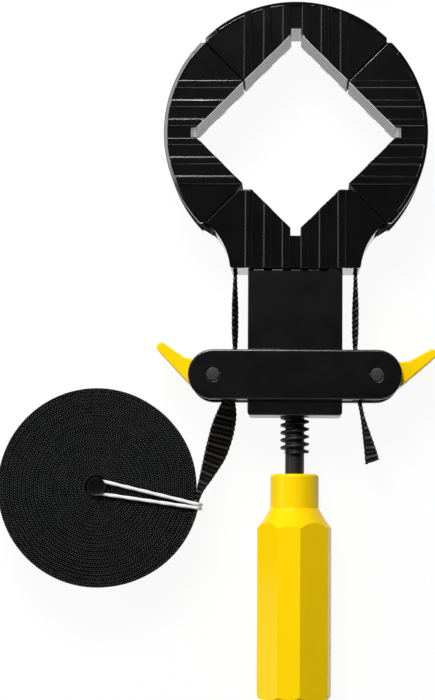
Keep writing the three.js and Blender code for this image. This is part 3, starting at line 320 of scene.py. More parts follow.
def zinc_bright():
    finish = Finish("zinc_bright", Specular_IOR_Level=0.5)
    where = finish.place()
    cloud = finish.noise(where, 2.5, 4.0)
    drawn = finish.noise(where, 0.3, 3.0)
    finish.feed(
        Base_Color=finish.colours(cloud, (0.5, 0.51, 0.52), (0.68, 0.69, 0.7)),
        Metallic=0.85 + 0.15 * cloud,
        Roughness=0.24 + 0.16 * drawn,
    )
    finish.bumps(drawn, 0.008, 0.4)
    return finish.material


def turned_brass():
    finish = Finish("turned_brass", Specular_IOR_Level=0.5)
    where = finish.place()
    cloud = finish.noise(where, 3.5, 4.0)
    finish.feed(
        Base_Color=finish.colours(cloud, (0.5, 0.34, 0.12), (0.68, 0.5, 0.2)),
        Metallic=0.9 + 0.1 * cloud,
        Roughness=0.3 + 0.15 * cloud,
    )
    finish.bumps(finish.noise(where, 0.3, 3.0), 0.01, 0.4)
    return finish.material


# Weave: ribs of weft across the band, warp along it, and the weft's loops on its edges.
# The wound band's coordinates give each of its sides a third of the band's width.
WEFT_PITCH = 2.25
WARP_PITCH = 1.1
LOOP_PITCH = 1.2
LOOP_ROW = 2 * BAND_WIDTH / 6
COIL_SIDE_MIDDLE = 2.5 * LOOP_ROW
COIL_SIDE_SHARE = 3.0
COIL_TURN_LENGTH = 276.0
COIL_TURN_FADE = 3.0


def crest_highlight_and_wear(along, warp, fuzz, patch):
    """How pale the yarn is: a painted highlight on the ribs' crests, more on every other one, and
    random paler patches of wear.
    """
    weft = along.wave(WEFT_PITCH * MM)
    pair = along.wave(2 * WEFT_PITCH * MM)
    crest = (weft * (0.45 + 0.55 * pair) * (0.6 + 0.4 * warp)).between(0.1, 0.75)
    return crest * (0.55 + 0.9 * fuzz) * (0.7 + 0.6 * patch)


def black_webbing():
    """Ribs of weft across the band, fine warp along it, and paler crests: a painted highlight,
    with patches of wear.
    """
    finish = Finish("black_webbing", Specular_IOR_Level=0.02)
    across, along = finish.weave_place()
    where = finish.place()
    fuzz = finish.noise(where, 0.5, 4.0, 0.65)
    patch = finish.noise(where, 5.0, 3.0)
    warp = across.wave(WARP_PITCH * MM)
    # Painted highlight on the ribs' crests, with random wear, as the paler share of the colour
    yarn = crest_highlight_and_wear(along, warp, fuzz, patch)
    finish.feed(
        Base_Color=finish.colours(yarn, (0.0006, 0.0006, 0.0008), (0.11, 0.114, 0.132)),
        Roughness=0.8 + 0.2 * fuzz,
    )
    finish.bumps(0.6 * warp + 0.4 * fuzz, 0.09, 0.7)
    return finish.material


def coil_webbing():
    """The same band wound up: rows of weft loops on its edges, with a painted highlight on the
    loops' tops and painted shade between them, and ribs on its outermost turn with painted
    highlights on their crests.
    """
    finish = Finish("coil_webbing", Specular_IOR_Level=0.02)
    across, along = finish.weave_place()
    where = finish.place()
    fuzz = finish.noise(where, 0.8, 3.0, 0.7)
    patch = finish.noise(where, 3.0, 3.0, 0.6)
    row_place = across - 0.5 * LOOP_ROW * MM
    row = row_place.wave(LOOP_ROW * MM)
    loop = (along + row_place * (0.5 * LOOP_PITCH / LOOP_ROW)).wave(LOOP_PITCH * MM)
    # Painted highlight on the loops' tops and painted shade in the gaps between them, varied at
    # random
    loop_top_highlight = (row * loop * (0.35 + 1.2 * fuzz)).between(0.35, 0.95) * (0.3 + 1.3 * patch)
    warp = across.wave(WARP_PITCH / COIL_SIDE_SHARE * MM)
    # The outermost turn's side: a painted highlight on the ribs' crests, with random wear
    side_crest_highlight = crest_highlight_and_wear(along, warp, fuzz, patch)
    turn_end = COIL_TURN_LENGTH + COIL_TURN_FADE
    outermost = 1.0 - along.between(COIL_TURN_LENGTH * MM, turn_end * MM)
    side = (across - COIL_SIDE_MIDDLE * MM).wave(BAND_WIDTH * MM)
    on_side = outermost * side.between(0.75, 0.77)
    yarn = loop_top_highlight + on_side * (side_crest_highlight - loop_top_highlight)
    finish.feed(
        Base_Color=finish.colours(yarn, (0.0004, 0.0004, 0.0006), (0.13, 0.131, 0.135)),
        Roughness=0.85 + 0.15 * fuzz,
    )
    edge_relief = 0.5 * loop * row + 0.5 * fuzz
    side_relief = 0.6 * warp + 0.4 * fuzz
    finish.bumps(edge_relief + on_side * (side_relief - edge_relief), 0.15, 0.8)
    return finish.material


BRAID_PITCH = 1.0
BRAID_SLANT = 0.9


def white_elastic():
    """Braided cover: slanting yarns in two directions."""
    sheen = {"Sheen_Weight": 0.1, "Sheen_Roughness": 0.5}
    finish = Finish("white_elastic", Specular_IOR_Level=0.35, **sheen)
    across, along = finish.weave_place()
    where = finish.place()
    left = (along + BRAID_SLANT * across).wave(BRAID_PITCH * MM)
    right = (along - BRAID_SLANT * across).wave(BRAID_PITCH * MM)
    braid = (left * right) ** 0.5
    fuzz = finish.noise(where, 0.4, 3.0)
    # Paler on the yarns and darker between them, varied by noise
    braid_paleness = braid * (0.7 + 0.5 * fuzz)
    finish.feed(
        Base_Color=finish.colours(braid_paleness, (0.74, 0.74, 0.735), (0.93, 0.93, 0.925)),
        Roughness=0.62 + 0.25 * fuzz,
    )
    finish.bumps(braid, 0.08, 0.6)
    return finish.material


FINISHES = {
    "black_plastic": moulded_black(),
    "yellow_plastic": moulded_yellow(),
    "black_steel": oxide_black(),
    "grey_steel": pin_grey(),
    "bright_steel": zinc_bright(),
    "brass": turned_brass(),
    "webbing": black_webbing(),
    "elastic": white_elastic(),
}
JAW_FINISH = jaw_black()
COIL_FINISH = coil_webbing()


# Pieces in general


RIGID_SMOOTH_ANGLE = 35.0
THREAD_SMOOTH_ANGLE = 40.0
GRIP_SMOOTH_ANGLE = 30.0
WOVEN_SMOOTH_ANGLE = 60.0


def placed(name, bm, finish):
    """A new smooth object at the origin from a finished bmesh."""
    mesh = bpy.data.meshes.new(name)
    bm.to_mesh(mesh)
    bm.free()
    mesh.materials.append(finish)
    mesh.shade_smooth()
    made = bpy.data.objects.new(name, mesh)
    bpy.context.scene.collection.objects.link(made)
    return made


def piece(name, bm, slot, smooth_angle=RIGID_SMOOTH_ANGLE, finish=None):
    """A piece of the clamp in its slot, with the edges beyond an angle kept sharp."""
    made = placed(name, bm, finish or FINISHES[slot])
    made.data.set_sharp_from_angle(angle=math.radians(smooth_angle))
    return made


def stands_in(made, node, body):
    """Lets a piece ride a body and take a solid's place on it."""
    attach(made, body)
    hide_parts(node)


def even_shading(made):
    """Keeps large flat faces flat beside their rounded edges."""
    made.modifiers.new("flat_faces", "WEIGHTED_NORMAL").keep_sharp = True


def closed(bm):
    bmesh.ops.remove_doubles(bm, verts=bm.verts, dist=PIECE_MERGE * MM)
    bmesh.ops.recalc_face_normals(bm, faces=bm.faces)


def sharp_edges(bm, angle):
    limit = math.radians(angle)
    return [edge for edge in bm.edges if edge.is_manifold and edge.calc_face_angle() > limit]


def cut_flat(bm, place, normal):
    """Cuts a form off at a plane through a place in metres, and fills the cut."""
    found = bmesh.ops.bisect_plane(
        bm,
        geom=[*bm.verts, *bm.edges, *bm.faces],
        plane_co=place,
        plane_no=normal,
        clear_outer=True,
        dist=CUT_MERGE * MM,
    )
    rim = [item for item in found["geom_cut"] if isinstance(item, bmesh.types.BMEdge)]
    bmesh.ops.edgenet_fill(bm, edges=rim)


WIDEST_ROUNDING = 1.0
ROUNDING_STEPS = 3
MOULDED_EDGE_ANGLE = 40.0
FLAT_FACE_ANGLE = 0.8


def softened(node, slot, body, radius, finish=None):
    """A copy of a rigid solid with its moulded edges rounded, each by its own radius."""
    bm = bmesh.new()
    bm.from_mesh(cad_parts[node].data)
    bmesh.ops.remove_doubles(bm, verts=bm.verts, dist=SOLID_MERGE * MM)
    flat = math.radians(FLAT_FACE_ANGLE)
    bmesh.ops.dissolve_limit(bm, angle_limit=flat, verts=bm.verts, edges=bm.edges)
    weight = bm.edges.layers.float.new("bevel_weight_edge")
    for edge in sharp_edges(bm, MOULDED_EDGE_ANGLE):
        edge[weight] = radius(edge) / WIDEST_ROUNDING
    made = piece(node + "_moulding", bm, slot, finish=finish)
    rounded = made.modifiers.new("moulded_edges", "BEVEL")
    rounded.limit_method = "WEIGHT"
    rounded.width = WIDEST_ROUNDING * MM
    rounded.segments = ROUNDING_STEPS
    rounded.profile = 0.5
    rounded.use_clamp_overlap = False
    even_shading(made)
    stands_in(made, node, body)


def turned(profile, steps, centre=(0, 0, 0), axis=(0, 0, 1)):
    """A profile of (radius, height) pairs spun about an axis through a centre, in millimetres."""
    bm = bmesh.new()
    side = Vector((1, 0, 0))
    points = [metres(*(Vector(centre) + side * r + Vector(axis) * h)) for r, h in profile]
    verts = [bm.verts.new(point) for point in points]
    edges = [bm.edges.new(pair) for pair in zip(verts, verts[1:])]
    bmesh.ops.spin(
        bm,
        geom=verts + edges,
        cent=metres(*centre),
        axis=axis,
        angle=2 * math.pi,
        steps=steps,
        use_merge=True,
    )
    closed(bm)
    return bm


# Webbing and cord, which follow a route of stations


def catmull_rom(points, share):
    """A centripetal curve through vectors of any length, at a share of its way."""
    last = len(points) - 1
    k = min(int(share * last), last - 1)
    part = share * last - k
    p1, p2 = points[k], points[k + 1]
    p0 = points[k - 1] if k > 0 else 2 * p1 - p2
    p3 = points[k + 2] if k + 2 <= last else 2 * p2 - p1
    spans = ((p0, p1), (p1, p2), (p2, p3))
    d0, d1, d2 = [max((b.xyz - a.xyz).length, LEAST_SPAN) ** 0.5 for a, b in spans]
    t1 = ((p1 - p0) / d0 - (p2 - p0) / (d0 + d1) + (p2 - p1) / d1) * d1
    t2 = ((p2 - p1) / d1 - (p3 - p1) / (d1 + d2) + (p3 - p2) / d2) * d1
    c2 = 3 * (p2 - p1) - 2 * t1 - t2
    c3 = 2 * (p1 - p2) + t1 + t2
    return p1 + t1 * part + c2 * part**2 + c3 * part**3


def smooth_route(points, steps):
    """A row of places along a smooth curve through points, each part as many as the next."""
    vectors = [Vector(point) for point in points]
    return [catmull_rom(vectors, i / steps) for i in range(steps + 1)]


def evenly(route, step):
    """The same route with its stations a step apart or a little less."""
    lengths = [0.0]
    for a, b in zip(route, route[1:]):
        lengths.append(lengths[-1] + (b.xyz - a.xyz).length)
    count = max(1, math.ceil(lengths[-1] / step))
    stations, k = [], 0
    for i in range(count + 1):
        want = lengths[-1] * i / count
        while k < len(route) - 2 and lengths[k + 1] < want:
            k += 1
        span = max(lengths[k + 1] - lengths[k], LEAST_SPAN)
        stations.append(route[k].lerp(route[k + 1], (want - lengths[k]) / span))
    return stations, lengths[-1]


def band_axes(stations, i):
    """Along, across and out of a band whose stations hold x, y, z and a lean in degrees."""
    before = stations[max(i - 1, 0)].xyz
    after = stations[min(i + 1, len(stations) - 1)].xyz
    along = (after - before).normalized()
    lean = math.radians(stations[i].w)
    upright = Vector((-math.sin(lean), 0, math.cos(lean)))
    across = (upright - along * upright.dot(along)).normalized()
    return along, across, along.cross(across)


def swept(stations, length, around, section, axes, uv_width, caps=True):
    """A tube or strip: a flat grid that is rolled round each station by its section."""
    bm = bmesh.new()
    layer = bm.loops.layers.uv.new("weave")
    steps = len(stations) - 1
    bmesh.ops.create_grid(bm, x_segments=around, y_segments=steps, size=0.5, calc_uvs=True)
    rows = [axes(stations, i) for i in range(steps + 1)]
    for vert in bm.verts:
        turn, share = vert.co.x + 0.5, vert.co.y + 0.5
        i = round(share * steps)
        k = round(turn * around) % around
        _, across, out = rows[i]
        wide, thick = section(2 * math.pi * k / around, length * i / steps)
        vert.co = (stations[i].xyz + across * wide + out * thick) * MM
    for face in bm.faces:
        for loop in face.loops:
            spot = loop[layer].uv
            loop[layer].uv = (spot.x * uv_width * MM, spot.y * length * MM)
    bmesh.ops.remove_doubles(bm, verts=bm.verts, dist=SEAM_MERGE * MM)
    if caps:
        ends = [edge for edge in bm.edges if edge.is_boundary]
        bmesh.ops.holes_fill(bm, edges=ends, sides=0)
    bmesh.ops.recalc_face_normals(bm, faces=bm.faces)
    return bm


# The flat band's section, and how far its ribs of weft stand out
BAND_STEP = 0.34
BAND_AROUND = 20
BAND_FLATNESS = 0.32
WEFT_EDGE_RISE = 0.2
WEFT_RISE = 0.1
WEFT_SINK = 0.02


def flattened(share):
    """A cosine or sine drawn towards its ends, for a flat section with round edges."""
    return math.copysign(abs(share) ** BAND_FLATNESS, share)


def woven_section(angle, at):
    """Half-width and half-thickness of the band, with ribs of weft and a bumpy edge."""
    rib = math.cos(2 * math.pi * at / WEFT_PITCH)
    wide = BAND_WIDTH / 2 - WEFT_EDGE_RISE + WEFT_EDGE_RISE * rib
    thick = BAND_THICKNESS / 2 - WEFT_SINK + WEFT_RISE * rib
    return wide * flattened(math.cos(angle)), thick * flattened(math.sin(angle))


# Places round the wound band: thickness share, height share and how far a loop of weft stands up
COIL_EDGE = [(-0.94, 0.99, 0), (-0.5, 1, 0.2), (0, 0.992, 0), (0.5, 1, -0.2), (0.94, 0.99, 0)]
COIL_AROUND = [*COIL_EDGE, (1.09, 0, 0), *[(-t, -w, -h) for t, w, h in COIL_EDGE], (-1.09, 0, 0)]
COIL_THICKNESS = 1.66
COIL_EDGE_ROOM = 0.3
COIL_DIP = 0.75
COIL_DIP_SPREAD = 0.9
COIL_DIP_STEP = 0.83
COIL_DIP_MORE = 0.1


def coiled_section(angle, at):
    """The wound band: two rows of loops stand up along each edge, and some turns lie lower."""
    thick, wide, loop = COIL_AROUND[round(angle * len(COIL_AROUND) / (2 * math.pi))]
    turn = coil_turn(at)
    about = 2 * math.pi * turn
    x, y = COIL_DIP_SPREAD * math.cos(about), COIL_DIP_SPREAD * math.sin(about)
    spot = Vector((x, y, COIL_DIP_STEP * math.floor(turn + 0.5)))
    dip = COIL_DIP * max(0.0, noise.noise(spot) + COIL_DIP_MORE)
    lift = loop * math.cos(2 * math.pi * at / LOOP_PITCH)
    half = BAND_WIDTH / 2 - COIL_EDGE_ROOM - dip
    return half * wide + lift * abs(wide), COIL_THICKNESS / 2 * thick


def band_piece(
    name, route, step=BAND_STEP, around=BAND_AROUND, section=woven_section, finish=None
):
    """A length of band along a route, and how long it is."""
    stations, length = evenly(route, step)
    bm = swept(stations, length, around, section, band_axes, 2 * BAND_WIDTH)
    made = piece(name, bm, "webbing", WOVEN_SMOOTH_ANGLE, finish)
    return made, length


def station(x, y, z=MID_Z, lean=0.0):
    return Vector((x, y, z, lean))


def mirrored(route):
    return [station(-at.x, at.y, at.z, -at.w) for at in route]


# The free lead and the coil, one length of band. The lead's points give its middle line, the share
# of its way down to the coil's height, and its lean in degrees.

COIL_CENTRE = (-89.0, -50.7)
COIL_OUTER_RADIUS = 45.0
COIL_PITCH = 1.8
COIL_TURNS = 22.4
COIL_START_ANGLE = -8.5
COIL_LOW_Z = 3.2
COIL_MID_Z = COIL_LOW_Z + BAND_WIDTH / 2
COIL_STEPS_PER_TURN = 120
LEAD_STEPS = 120
LEAD_POINTS = [
    (-BAND_RUN_X, BAND_PINCH_Y - CLEARANCE, 0, 0),
    (-28.2, -8.3, 0, 3),
    (-29.8, -11.6, 0.1, 10.5),
    (-31.1, -17.7, 0.3, 19),
    (-32.8, -24.3, 0.55, 23),
    (-34.1, -29.3, 0.7, 23),
    (-36.2, -36, 0.85, 21),
    (-39.8, -44.8, 0.95, 12),
    (-43.2, -52.6, 1, 3),
]


def coil_turn(at):
    """How many turns from its outer end a length along the coil lies."""
    left = COIL_OUTER_RADIUS**2 - COIL_PITCH * at / math.pi
    return (COIL_OUTER_RADIUS - math.sqrt(max(left, 0.0))) / COIL_PITCH


def coil_station(turn):
    angle = math.radians(COIL_START_ANGLE) - 2 * math.pi * turn
    radius = COIL_OUTER_RADIUS - COIL_PITCH * turn
    x = COIL_CENTRE[0] + radius * math.cos(angle)
    return station(x, COIL_CENTRE[1] + radius * math.sin(angle), COIL_MID_Z)


def band_lead():
    sunk = MID_Z - COIL_MID_Z
    points = [station(x, y, MID_Z - share * sunk, lean) for x, y, share, lean in LEAD_POINTS]
    route = smooth_route([*points, coil_station(0)], LEAD_STEPS)
    made, length = band_piece("band_lead_weave", route)
    stands_in(made, "band_lead", "housing")
    flat = (BAND_WIDTH * MM, length * MM)


def band_coil():
    steps = round(COIL_TURNS * COIL_STEPS_PER_TURN)
    route = [coil_station(i / COIL_STEPS_PER_TURN) for i in range(steps + 1)]
    made, length = band_piece(
        "band_coil_weave", route, LOOP_PITCH / 2, len(COIL_AROUND), coiled_section, COIL_FINISH
    )
    stands_in(made, "band_coil", "housing")
    flat = (BAND_WIDTH * MM, length * MM)


# The short free tail: shares of its length, sway and sag, with its lean. The fray changes by its
# turns through the band and across it.

TAIL_LENGTH = 32.8
TAIL_SWAY = 7.8
TAIL_SAG = 1.2
TAIL_SLANT = 2.0
TAIL_FRAY = 0.7
TAIL_FRAY_TURNS = (0.4, 0.9)
TAIL_CUT_REACH = 6.0
TAIL_STEPS = 80
TAIL_POINTS = [
    (0, 0, 0, 0),
    (0.08, 0.1, 0, 0),
    (0.17, 0.25, 0, 0),
    (0.33, 0.39, 0.1, 0),
    (0.49, 0.54, 0.25, -2),
    (0.68, 0.73, 0.5, -6),
    (0.84, 0.88, 0.75, -9),
    (1, 1, 1, -11),
]


def band_tail():
    start = BAND_PINCH_Y - CLEARANCE
    points = []
    for share, sway, sag, lean in TAIL_POINTS:
        x, y = BAND_RUN_X + sway * TAIL_SWAY, start - share * TAIL_LENGTH
        points.append(station(x, y, MID_Z - sag * TAIL_SAG, lean))
    made, length = band_piece("band_tail_weave", smooth_route(points, TAIL_STEPS))
    thick, wide = TAIL_FRAY_TURNS
    for vert in made.data.vertices:
        x, y, z = vert.co / MM
        near_end = max(0.0, 1 - (y - start + TAIL_LENGTH) / TAIL_CUT_REACH)
        ragged = TAIL_FRAY * noise.noise(Vector((thick * x, 0, wide * z)))
        vert.co.y += near_end * (TAIL_SLANT * (z - MID_Z) / BAND_WIDTH + ragged) * MM
    stands_in(made, "band_tail", "housing")
    flat = (BAND_WIDTH * MM, length * MM)


# The band round the jaws, across their joints, through the head and down to the cams

HEAD_BASE_Y = 48.0
HEAD_BASE_HALF_WIDTH = 29.6
HEAD_CORNER_RADIUS = 1.4
WAIST_RADIUS = 28.3
GUIDE_WALL = 1.5
RIB_HEIGHT = 1.0
JAW_GAP = 1.0
JOINT_GAP = JAW_GAP / math.sqrt(2)
JAW_TIP_TRIM = 1.1
JAW_TIP_RADIUS = RING_RADIUS - JAW_TIP_TRIM
JAW_TIP_HALF_WIDTH = (math.sqrt(2 * JAW_TIP_RADIUS**2 - JOINT_GAP**2) - JOINT_GAP) / 2
WAIST_TIP = Vector((JAW_TIP_HALF_WIDTH - JOINT_GAP, RING_CENTRE_Y - JAW_TIP_HALF_WIDTH))
WAIST_FOOT = Vector((HEAD_BASE_HALF_WIDTH, HEAD_BASE_Y + HEAD_CORNER_RADIUS))
GUIDE_PLACES = [(0.14, 0), (0.3, 0.5), (0.5, 0.9), (0.74, 1)]


def loop_end(past):
    """Where the loop leaves a corner jaw, past the joint line between two jaws."""
    diagonal, shift = math.sqrt(0.5) * BAND_RADIUS, math.sqrt(0.5) * past
    return station(diagonal - shift, RING_CENTRE_Y - diagonal - shift)


def guide_points():
    """The way behind the waist's arc, on the right."""
    chord = WAIST_FOOT - WAIST_TIP
    outward = Vector((-chord.y, chord.x)).normalized()
    away = math.sqrt(WAIST_RADIUS**2 - chord.length_squared / 4)
    centre = (WAIST_TIP + WAIST_FOOT) / 2 + outward * away
    tip = math.atan2(WAIST_TIP.y - centre.y, WAIST_TIP.x - centre.x)
    foot = math.atan2(WAIST_FOOT.y - centre.y, WAIST_FOOT.x - centre.x)
    inset = GUIDE_WALL + BAND_THICKNESS / 2 + CLEARANCE
    points = []
    for share, depth in GUIDE_PLACES:
        angle = tip + share * (foot - tip)
        radius = WAIST_RADIUS + depth * inset
        x = centre.x + radius * math.cos(angle)
        points.append(station(x, centre.y + radius * math.sin(angle)))
    return points


# The free run between head and crossbar: shares of its height and of its lean
RUN_LEAN = 3.5
RUN_SLACK = [(0.93, 0.1), (0.82, 0.6), (0.7, 1), (0.5, 1), (0.4, 0.6), (0.32, 0.1)]
RUN_STEPS = 120
WRAP_STEPS = 90


def band_run(name, side):
    guides = guide_points()
    low = HEAD_BASE_Y - RIB_HEIGHT
    exits = [station(BAND_RUN_X, y) for y in (HEAD_BASE_Y + HEAD_CORNER_RADIUS, low)]
    curve = smooth_route([loop_end(0), *guides, *exits], RUN_STEPS)
    started = [at for at in curve if at.y < guides[0].y]
    free = low - BAND_PINCH_Y
    slack = [
        station(BAND_RUN_X, BAND_PINCH_Y + share * free, MID_Z, -RUN_LEAN * lean)
        for share, lean in RUN_SLACK
    ]
    route = [guides[0], *started, *slack, station(BAND_RUN_X, BAND_PINCH_Y)]
    made, _ = band_piece(f"band_run_{name}_weave", route if side > 0 else mirrored(route))
    stands_in(made, f"band_run_{name}", "head")


def band_wrap(name, middle, body):
    away = LINK_REACH / BAND_RADIUS
    span = math.pi / 2 - 2 * away
    route = []
    for i in range(WRAP_STEPS + 1):
        angle = math.radians(middle) - span / 2 + span * i / WRAP_STEPS
        x, y = BAND_RADIUS * math.cos(angle), BAND_RADIUS * math.sin(angle)
        route.append(station(x, RING_CENTRE_Y + y))
    made, _ = band_piece(f"band_wrap_{name}_weave", route)
    stands_in(made, f"band_wrap_{name}", body)


def stretch_place(share):
    """Where a row of the link starts, so that the open loop spreads the rows evenly."""
    return 0.5 - math.sin(math.asin(1 - 2 * share) / 3)


def band_link(name, first, last):
    """A short link whose weave is laid out for the open loop, and drawn together at rest."""
    length = LOOP_TRAVEL + (last.xyz - first.xyz).length
    rows = round(length / BAND_STEP)
    stations = [first.lerp(last, stretch_place(i / rows)) for i in range(rows + 1)]

    def axes(places, i):
        return band_axes([first, last], 0)

    bm = swept(stations, length, BAND_AROUND, woven_section, axes, 2 * BAND_WIDTH)
    made = piece(f"band_link_{name}_weave", bm, "webbing", WOVEN_SMOOTH_ANGLE)
    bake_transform(made)
    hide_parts(f"band_link_{name}")


def corner_link(middle):
    """The link's ends across the joint between two corner jaws, anticlockwise."""
    reach = LINK_REACH - CLEARANCE
    angle = math.radians(middle)
    spot = Vector((math.cos(angle), math.sin(angle))) * BAND_RADIUS
    along = Vector((-math.sin(angle), math.cos(angle))) * reach
    ends = (spot - along, spot + along)
    return [station(end.x, RING_CENTRE_Y + end.y) for end in ends]


def head_link():
    """From the right jaw's lower end to where the band enters the head."""
    return loop_end(CLEARANCE - LINK_REACH), guide_points()[0]


def loop_band():
    band_wrap("top", 90, "band_top")
    band_wrap("left", 180, "jaw_left")
    band_wrap("right", 0, "jaw_right")
    lower, upper = corner_link(45)
    band_link("top_right", lower, upper)
    upper, lower = corner_link(135)
    band_link("left_top", lower, upper)
    jaw_end, head_end = head_link()
    band_link("head_right", head_end, jaw_end)
    jaw_end, head_end = mirrored([jaw_end, head_end])
    band_link("head_left", head_end, jaw_end)
    band_run("left", -1)
    band_run("right", 1)


# Peg in the coil's middle and the elastic that hooks round it

ELASTIC_RADIUS = 0.82
ELASTIC_HOOK_ANGLE = -10.6
ELASTIC_STRAND_SPACING = 1.75
ELASTIC_LAY = 7.8
ELASTIC_CORE = 0.94
ELASTIC_PLY = 0.08
ELASTIC_BEND = 1.2
ELASTIC_BEND_CUT = 0.3 * ELASTIC_BEND
ELASTIC_SNUG = 0.05
ELASTIC_STEPS = 400
ELASTIC_STEP = 0.5
ELASTIC_AROUND = 12
STRAND_PLACES = (0.05, 0.12, 0.25, 0.5, 0.75)
HOOK_ANGLES = (70, 108, 144, 180, 216, 252, 290)
PEG_RADIUS = 3.4
PEG_NECK_RADIUS = 2.1
PEG_HEAD_RADIUS = 4.1
PEG_FOOT_RADIUS = 6.4
PEG_HEAD_HEIGHT = 0.9
PEG_RIM = 0.25
COIL_HIGH_Z = COIL_LOW_Z + BAND_WIDTH
TURNING_STEPS = 56


def drum(radius, low, high, rim):
    """Half the outline of a disc with its two rims cut off."""
    return [(radius - rim, low), (radius, low + rim), (radius, high - rim), (radius - rim, high)]


def coil_peg():
    room = 2 * ELASTIC_RADIUS + 2 * CLEARANCE
    rear, front = COIL_LOW_Z - room, COIL_HIGH_Z + room
    low, high = rear - PEG_HEAD_HEIGHT, front + PEG_HEAD_HEIGHT
    dish = high - 0.5 * PEG_RIM
    profile = [
        (0, low),
        *drum(PEG_FOOT_RADIUS, low, rear, PEG_RIM),
        (PEG_NECK_RADIUS, rear),
        (PEG_NECK_RADIUS, COIL_LOW_Z),
        *drum(PEG_RADIUS, COIL_LOW_Z, COIL_HIGH_Z, PEG_RIM),
        (PEG_NECK_RADIUS, COIL_HIGH_Z),
        (PEG_NECK_RADIUS, front),
        *drum(PEG_HEAD_RADIUS, front, high, PEG_RIM),
        (PEG_HEAD_RADIUS - 3 * PEG_RIM, dish),
        (0, dish),
    ]
    form = turned(profile, TURNING_STEPS, (*COIL_CENTRE, 0))
    made = piece("coil_peg_turning", form, "black_plastic")
    even_shading(made)
    stands_in(made, "coil_peg", "housing")


def elastic_points():
    """One ring of cord: round the peg in front, over the coil's edge, and round the peg behind."""
    front = COIL_HIGH_Z + CLEARANCE + ELASTIC_RADIUS
    rear = COIL_LOW_Z - CLEARANCE - ELASTIC_RADIUS
    hug = PEG_NECK_RADIUS + ELASTIC_SNUG + ELASTIC_RADIUS
    edge = COIL_OUTER_RADIUS + BAND_THICKNESS / 2 + CLEARANCE + ELASTIC_RADIUS
    half, bend, bend_cut = ELASTIC_STRAND_SPACING / 2, ELASTIC_BEND, ELASTIC_BEND_CUT

    def peg_arc(z):
        angles = [math.radians(angle) for angle in HOOK_ANGLES]
        return [(hug * math.cos(a), hug * math.sin(a), z) for a in angles]

    def strand(side, z):
        return [(s * (edge - bend), side * (hug + (half - hug) * s), z) for s in STRAND_PLACES]

    def corner(side):
        y = side * half
        return [
            (edge - bend, y, front),
            (edge - bend_cut, y, front - bend_cut),
            (edge, y, front - bend),
            (edge, y, (front + rear) / 2),
            (edge, y, rear + bend),
            (edge - bend_cut, y, rear + bend_cut),
            (edge - bend, y, rear),
        ]

    path = [
        *peg_arc(front),
        *strand(-1, front),
        *corner(-1),
        *reversed(strand(-1, rear)),
        *reversed(peg_arc(rear)),
        *strand(1, rear),
        *reversed(corner(1)),
        *reversed(strand(1, front)),
    ]
    turn = Matrix.Rotation(math.radians(ELASTIC_HOOK_ANGLE), 3, "Z")
    middle = Vector((*COIL_CENTRE, 0))
    return [middle + turn @ Vector(point) for point in path]


def elastic_section(angle, at):
    """Two plies twisted about each other."""
    ply = math.cos(2 * angle - 2 * math.pi * at / ELASTIC_LAY)
    radius = ELASTIC_RADIUS * (ELASTIC_CORE + ELASTIC_PLY * ply)
    return radius * math.cos(angle), radius * math.sin(angle)


def elastic_axes(stations, i):
    """The cord's side, turned steadily outwards from the coil's middle."""
    last = len(stations) - 1
    before = stations[i - 1 if i > 0 else last - 1].xyz
    after = stations[i + 1 if i < last else 1].xyz
    along = (after - before).normalized()
    out = stations[i].xyz - Vector((*COIL_CENTRE, COIL_MID_Z))
    out = (out - along * out.dot(along)).normalized()
    return along, out, along.cross(out)


def elastic_tie():
    points = [Vector((*point, 0)) for point in elastic_points()]
    route = smooth_route(points, ELASTIC_STEPS)
    stations, length = evenly([*route, points[0]], ELASTIC_STEP)
    girth = 2 * math.pi * ELASTIC_RADIUS
    bm = swept(
        stations, length, ELASTIC_AROUND, elastic_section, elastic_axes, girth, caps=False
    )
    made = piece("elastic_tie_braid", bm, "elastic", WOVEN_SMOOTH_ANGLE)
    stands_in(made, "elastic_tie", "housing")
    length * MM


# Handle: a turned form cut to eight faces, which arch where they run out into the collar

HANDLE_TOP_Y = -44.4
HANDLE_LENGTH = 101.5
HANDLE_COLLAR_RADIUS = 11.0
HANDLE_COLLAR_LENGTH = 15.3
HANDLE_FLARE_LENGTH = 9.4
HANDLE_WIDE_FACE = 15.1
HANDLE_NARROW_FACE = 16.2
HANDLE_EDGE_RADIUS = 1.0
HANDLE_EDGE_STEPS = 4
HANDLE_EDGE_ANGLE = 9.0
HANDLE_END_RADIUS = 1.4
HANDLE_BUTT_REACH = 1.6 * HANDLE_END_RADIUS
HANDLE_BUTT_LENGTH = 2 * HANDLE_END_RADIUS
HANDLE_FLARE_CURVE = 1.15
HANDLE_SOCKET_CHAMFER = 0.4
HANDLE_TURN = -8.5
HANDLE_STEPS = 128
SHANK_RADIUS = 4.32
TANG_LENGTH = 55.0


